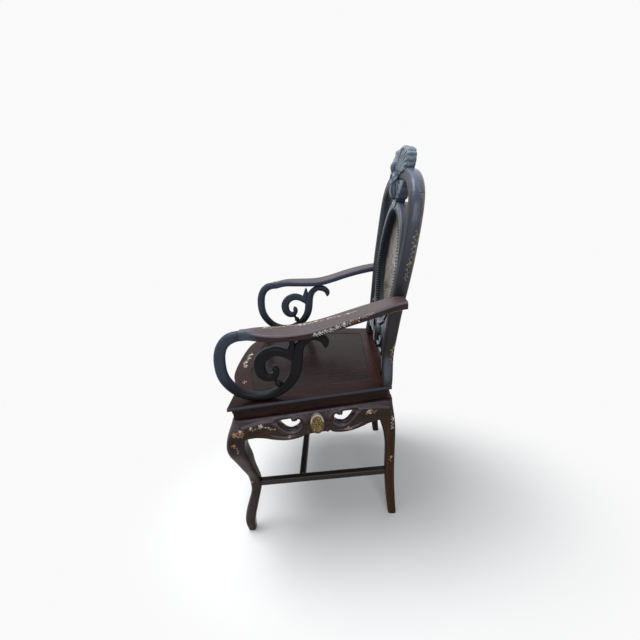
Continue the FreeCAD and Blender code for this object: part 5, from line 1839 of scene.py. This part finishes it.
@dataclass
class Inlay:
    """Shell let into the wood in sprays of leaves and small flowers."""

    nodes: Mapping[str, bpy.types.Object]
    finishes: Finishes
    proud: float = 0.25
    thickness: float = 0.5
    lift: float = 0.05
    miss: float = 0.0012
    stem_width: float = 2.0
    petals_each: int = 5
    sprays: tuple[Spray, ...] = (
        Spray("post_spray", ("back_post",), (1, 0, 0),
              ((232, 251, 888), (232, 246, 864), (231, 242, 838), (229, 236, 815), (225, 233, 790), (222, 228, 772)),
              20, (0.3, 0.62), 5.5, Tone.DIM),
        Spray("post_foot", ("back_post",), (1, 0.2, 0),
              ((188, 212, 590), (188, 206, 572), (188, 205, 556), (190, 200, 538)), 8, (0.2,), 5, Tone.AMBER),
        Spray("post_head", ("back_post", "back_arch"), (0.85, 0, 0.5),
              ((222, 266, 938), (218, 262, 956), (212, 258, 970), (202, 256, 984)), 7, (), 4, Tone.DIM),
        Spray("arm_top_front", ("armrest",), (0, 0, 1),
              ((258, -124, 683), (254, -100, 682), (248, -78, 681), (240, -50, 680)), 9, (0.1,), 4.5,
              mirrored=False),
        Spray("arm_top_middle", ("armrest",), (0, 0, 1),
              ((244, -46, 680), (240, -22, 680), (236, 2, 684), (234, 26, 688), (238, 50, 694), (243, 72, 700)),
              24, (0.12, 0.22, 0.45, 0.7), 5.5, mirrored=False),
        Spray("arm_top_rear", ("armrest",), (0, 0, 1),
              ((246, 76, 700), (246, 92, 704), (244, 108, 710)), 7, (0.4,), 4.5, mirrored=False),
        Spray("arm_edge", ("armrest",), (1, 0, 0),
              ((297, 2, 672), (297, 22, 676), (296, 44, 681), (295, 66, 688), (294, 90, 697), (291, 112, 704)),
              34, (0.06, 0.18, 0.3, 0.42, 0.55, 0.7), 5.2),
        Spray("arm_edge_rear", ("armrest",), (1, 0, 0),
              ((291, 118, 705), (288, 132, 711), (284, 146, 716)), 9, (), 4.2, Tone.DIM),
        Spray("knee_front", ("front_leg",), (1, 0, 0.15),
              ((300, -238, 391), (299, -228, 396), (298, -217, 403), (297, -206, 405)), 8, (0.28, 0.78), 7.5,
              Tone.AMBER, 8.5),
        Spray("knee_front_low", ("front_leg",), (1, 0, 0.15),
              ((300, -224, 389), (299, -215, 393), (298, -205, 395)), 5, (), 5.5, Tone.AMBER),
        Spray("knee_side", ("apron", "front_leg"), (1, 0.17, 0.1),
              ((293, -202, 398), (290, -189, 407), (288, -178, 404), (285, -160, 410), (283, -148, 409),
               (281, -137, 402), (278, -122, 396)), 10, (0.17, 0.5), 4.5, Tone.PALE, 9.5),
        Spray("shin_high", ("front_leg",), (1, 0, 0),
              ((304, -246, 365), (303, -236, 362), (302, -229, 352), (302, -229, 338)), 7, (0.3,), 5, Tone.AMBER, 6),
        Spray("shin_low", ("front_leg",), (0.75, -0.66, 0),
              ((254, -229, 197), (252, -227, 187), (251, -226, 177)), 3, (0.4,), 5, Tone.AMBER, 6.5),
        Spray("apron_fore", ("apron",), (1, 0.17, -0.1), ((273, -92, 362), (271, -84, 368), (270, -77, 372)), 3,
              (0.4,), 5.5, Tone.AMBER, 7),
        Spray("apron_aft", ("apron",), (1, 0.17, -0.1), ((245, 64, 363), (243, 73, 367), (241, 82, 363)), 4,
              (0.5,), 5.5, Tone.AMBER, 6.5),
        Spray("knee_rear", ("apron", "rear_leg"), (1, 0.17, 0.1),
              ((238, 124, 404), (236, 137, 410), (233, 153, 407)), 8, (0.5,), 6.5, Tone.AMBER, 9),
        Spray("knee_rear_white", ("rear_leg",), (1, 0.17, 0.1),
              ((233, 155, 406), (231, 166, 412), (229, 178, 408), (227, 190, 404), (227, 198, 392)), 11,
              (0.22, 0.66), 6.5, Tone.PALE, 10),
        Spray("knee_rear_stem", ("rear_shoulder",), (1, 0, 0.1),
              ((213, 173, 430), (212, 172, 438), (211, 172, 446), (211, 172, 452)), 3, (), 5.5),
        Spray("rear_leg_high", ("rear_leg",), (1, 0, 0),
              ((223, 201, 384), (223, 202, 370), (222, 202, 354), (222, 201, 338)), 9, (0.3,), 5.5),
        Spray("rear_leg_low", ("rear_leg",), (1, 0, 0),
              ((220, 197, 240), (220, 197, 230), (220, 197, 216)), 4, (0.2,), 4.5, Tone.AMBER, 6),
        Spray("seat_edge", ("seat_front_rail",), (0, 0, 1),
              ((-46, -246, 480), (-22, -252, 480), (4, -250, 480), (28, -255, 480), (50, -251, 480), (66, -245, 480)),
              22, (0.12, 0.36, 0.62, 0.86), 6, Tone.PALE, 8, False),
        Spray("seat_corner", ("seat_front_rail",), (0, 0, 1),
              ((150, -228, 480), (158, -223, 480), (168, -224, 480)), 4, (0.5,), 5),
    )

    def petals(self) -> bpy.types.Object:
        """A pointed leaf, half a unit long on each side of the origin, flat and facing up.

        Returns:
            The leaf.
        """
        Bench.clear()
        bpy.ops.mesh.primitive_circle_add(vertices=10, radius=0.5, fill_type="TRIFAN", location=(0, 0, 0))
        made = bpy.context.object
        made.name = "shell_leaf"
        Bench.open(made)
        bpy.ops.transform.resize(value=(1, 0.42, 1))
        Bench.done()
        Bench.mark(made, lambda place: abs(place.x) > 0.49)
        bpy.ops.transform.resize(value=(1.12, 1, 1))
        Bench.done()
        return made

    def lay(self, spray: Spray, way: int) -> None:
        """Cut one spray flat in front of its host and press it on.

        Args:
            spray: The spray.
            way: 1 for the sitter's left, -1 for the right.
        """
        side = "left" if way > 0 else "right"
        hosts = [self.nodes[name if name in self.nodes else f"{name}_{side}"] for name in spray.hosts]
        facing = Vector(spray.facing)
        facing.x *= way
        facing.normalize()
        stem = [Vector((way * x, y, z)) * MM for x, y, z in spray.stem]
        skin = Surface(*hosts)
        pattern = self.petals()
        stamps = []

        def put(middle: Vector, along: Vector, length: float, width: float) -> None:
            """Lay one leaf of a length and a width, in millimetres, along a way.

            Args:
                middle: The leaf's middle.
                along: The way it points.
                length: Its length.
                width: Its width.
            """
            along = (along - facing * along.dot(facing)).normalized()
            turn = Matrix((along, facing.cross(along), facing)).transposed().to_4x4()
            size = Matrix.Diagonal((length * MM, width * MM, 1, 1))
            stamps.append(Bench.stamp(pattern, Matrix.Translation(middle) @ turn @ size))

        def at(share: float) -> tuple[Vector, Vector]:
            """The place on the stem at a share of its length, and the way it runs there.

            Args:
                share: The share, 0 to 1.

            Returns:
                The place and the way.
            """
            reach = share * (len(stem) - 1)
            low = min(int(reach), len(stem) - 2)
            return stem[low].lerp(stem[low + 1], reach - low), (stem[low + 1] - stem[low]).normalized()

        pieces = 5 * len(stem)
        for index in range(pieces):
            here, along = at((index + 0.5) / pieces)
            beside = facing.cross(along)
            length = (stem[-1] - stem[0]).length / MM / pieces
            sway = math.sin(index * 1.1) * spray.leaf * 0.25
            put(here + beside * sway * MM, along, length * 1.15, self.stem_width)
        for index in range(spray.leaves):
            here, along = at((index + 0.5) / spray.leaves)
            beside = facing.cross(along) * (1 if index % 2 else -1)
            grown = spray.leaf * (0.75 + 0.5 * ((index * 7) % 5) / 4)
            heading = (along + beside * (0.9 + 0.25 * (index % 3))).normalized()
            put(here + heading * grown * 0.62 * MM, heading, grown, grown * 0.85)
        for share in spray.flowers:
            here, along = at(share)
            beside = facing.cross(along)
            bloom = spray.bloom or spray.leaf
            centre = here + beside * bloom * 0.5 * MM
            for turn in range(self.petals_each):
                angle = 2 * math.pi * turn / self.petals_each
                heading = along * math.cos(angle) + beside * math.sin(angle)
                put(centre + heading * bloom * 0.42 * MM, heading, bloom * 0.72, bloom)
        Bench.drop(pattern)
        whole = Bench.join(stamps, f"{spray.name}_{side}")
        self.press(whole, skin, facing, hosts)
        Bench.hand_over(whole, self.finishes.shell(spray.tone), Slot.SHELL)

    def press(self, whole: bpy.types.Object, skin: Surface, facing: Vector,
              hosts: Sequence[bpy.types.Object]) -> None:
        """Press a flat spray onto the wood, drop what misses it, and give it a thickness.

        Args:
            whole: The spray.
            skin: The wood's surface.
            facing: The way the wood faces.
            hosts: The pieces that it lies on.
        """
        turn = facing.to_track_quat("Z", "Y").to_matrix().to_4x4()
        whole.data.transform(turn.inverted())
        whole.matrix_world = turn
        whole.data.transform(Matrix.Translation((0, 0, self.lift)))
        for host in hosts:
            Bench.work(whole, "SHRINKWRAP", wrap_method="PROJECT", use_project_z=True, use_negative_direction=True,
                       use_positive_direction=False, target=host, offset=self.proud * MM)
        bpy.ops.object.transform_apply(location=True, rotation=True, scale=True)
        Bench.mark(whole, lambda place: skin.distance(place) > self.miss)
        bpy.ops.mesh.delete(type="VERT")
        Bench.done()
        Bench.work(whole, "SOLIDIFY", thickness=self.thickness * MM, offset=-1)

    def build(self) -> None:
        """Lay every spray on both sides."""
        for spray in self.sprays:
            self.lay(spray, 1)
            if spray.mirrored:
                self.lay(spray, -1)


@dataclass
class Studio:
    """The pale floor, the soft lamps and the camera."""

    camera_place: Point = (0.9957, 0.0616, 0.9564)
    yaw: float = -3.38
    pitch: float = 21.18
    roll: float = -4.52
    lens: float = 18.28
    shift: float = 0.0156
    white: Colour = (0.95, 0.95, 0.95, 1.0)
    floor_size: float = 24.0
    shadow_middle: Flat = (0.15, 0.15)
    shadow_reach: Flat = (0.5, 0.8)
    # Of each lamp: its name, its place, what it faces, its side in metres and its power in watts
    lamps: tuple[tuple[str, Point, Point, float, float], ...] = (
        ("window_front", (-0.35, -0.95, 3.4), (0, 0, 0.3), 2.3, 100),
        ("window_side", (3.0, 0.4, 1.95), (0, 0, 0.6), 1.6, 34),
    )

    def floor(self) -> None:
        """Lay the floor, white to the eye and to reflections, with the chair's shadow on it."""
        Bench.clear()
        bpy.ops.mesh.primitive_plane_add(size=self.floor_size, location=(0, 0, 0))
        ground = bpy.context.object
        ground.name = "studio_floor"
        graph = Graph("studio_floor")
        dull = graph.node("BsdfDiffuse", {}, {"Color": (0.4, 0.4, 0.4, 1)})
        pale = graph.node("BsdfDiffuse", {}, {"Color": (0.98, 0.98, 0.98, 1)})
        far = graph.node("Emission", {}, {"Color": self.white, "Strength": 1.0})
        across, deep, _ = graph.parts(graph.place())
        spread = graph.node("CombineXYZ", {}, {
            0: (across - self.shadow_middle[0]) / self.shadow_reach[0],
            1: (deep - self.shadow_middle[1]) / self.shadow_reach[1],
        })
        reach = graph.node("VectorMath", {"operation": "LENGTH"}, {0: spread}, "Value")
        shown = graph.node("MixShader", {}, {0: reach.rise(0.5, 1.1), 1: pale, 2: far})
        graph.close(graph.node("MixShader", {}, {0: graph.seen(), 1: dull, 2: shown}))
        ground.data.materials.append(graph.owner)

    def backdrop(self) -> None:
        """A white world to the eye and to reflections, and an even light for the chair."""
        graph = Graph("studio", world=True)
        bpy.context.scene.world = graph.owner
        shown = graph.node("Background", {}, {"Color": self.white, "Strength": 1.0})
        light = graph.node("Background", {}, {"Color": (0.92, 0.96, 1.0, 1), "Strength": 0.32})
        graph.close(graph.node("MixShader", {}, {0: graph.seen(), 1: light, 2: shown}), "World")

    def lamp(self, name: str, place: Point, aim: Point, size: float, power: float) -> None:
        """Hang one soft square lamp.

        Args:
            name: Its name.
            place: Where it hangs.
            aim: What it faces.
            size: Its side in metres.
            power: Its power in watts.
        """
        Bench.clear()
        bpy.ops.object.light_add(type="AREA", location=place)
        lamp = bpy.context.object
        lamp.name = name
        lamp.data.energy = power
        lamp.data.size = size
        lamp.rotation_euler = (Vector(aim) - Vector(place)).to_track_quat("-Z", "Y").to_euler()

    def camera(self) -> None:
        """Stand the camera where the photograph was taken from."""
        yaw, pitch, roll = (math.radians(angle) for angle in (self.yaw, self.pitch, self.roll))
        up = Vector((0, 0, 1))
        level = Vector((-math.cos(yaw), math.sin(yaw), 0))
        beside = Vector((math.sin(yaw), math.cos(yaw), 0))
        ahead = level * math.cos(pitch) - up * math.sin(pitch)
        over = up * math.cos(pitch) + level * math.sin(pitch)
        right = beside * math.cos(roll) + over * math.sin(roll)
        top = over * math.cos(roll) - beside * math.sin(roll)
        Bench.clear()
        bpy.ops.object.camera_add(location=self.camera_place)
        view = bpy.context.object
        view.name = "photo_view"
        turn = Matrix((right, top, -ahead)).transposed().to_4x4()
        view.matrix_world = Matrix.Translation(self.camera_place) @ turn
        view.data.sensor_width = 36
        view.data.lens = self.lens
        view.data.shift_y = self.shift
        bpy.context.scene.camera = view

    def build(self) -> None:
        """Set up floor, backdrop, lamps and camera."""
        self.floor()
        self.backdrop()
        for lamp in self.lamps:
            self.lamp(*lamp)
        self.camera()
        bpy.context.scene.view_settings.view_transform = "Standard"


def main() -> None:
    """Load the frame, dress and carve the chair, and set up the studio."""
    logging.basicConfig(level=logging.INFO, format="%(message)s")
    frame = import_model()
    nodes = dict(frame["nodes"])
    finishes = Finishes()
    Seat(nodes, finishes).dress()
    base = Base(nodes, finishes)
    base.dress()
    base.sweep_legs()
    for side in ("left", "right", "front"):
        base.carve_apron(side)
        base.flower(side)
    base.shoulders()
    back = Back(nodes, finishes)
    back.dress()
    back.beads()
    back.round_rails()
    back.carve("crest_carving", back.crest_block(), (*back.crest_rolls, *back.claw_rolls), "carved_crest", 3.2)
    for node, rolls, name, proud in (("crest_pendant", back.pendant_rolls, "carved_pendant", 2.8),
                                     ("lower_carving", back.rail_rolls, "carved_rail", 5.0)):
        back.carve(node, Bench.copy_of(nodes[node]), rolls, name, proud)
    arms = Arms(nodes, finishes)
    arms.dress()
    arms.carve()
    Inlay(nodes, finishes).build()
    Studio().build()


if __name__ == "__main__":
    main()
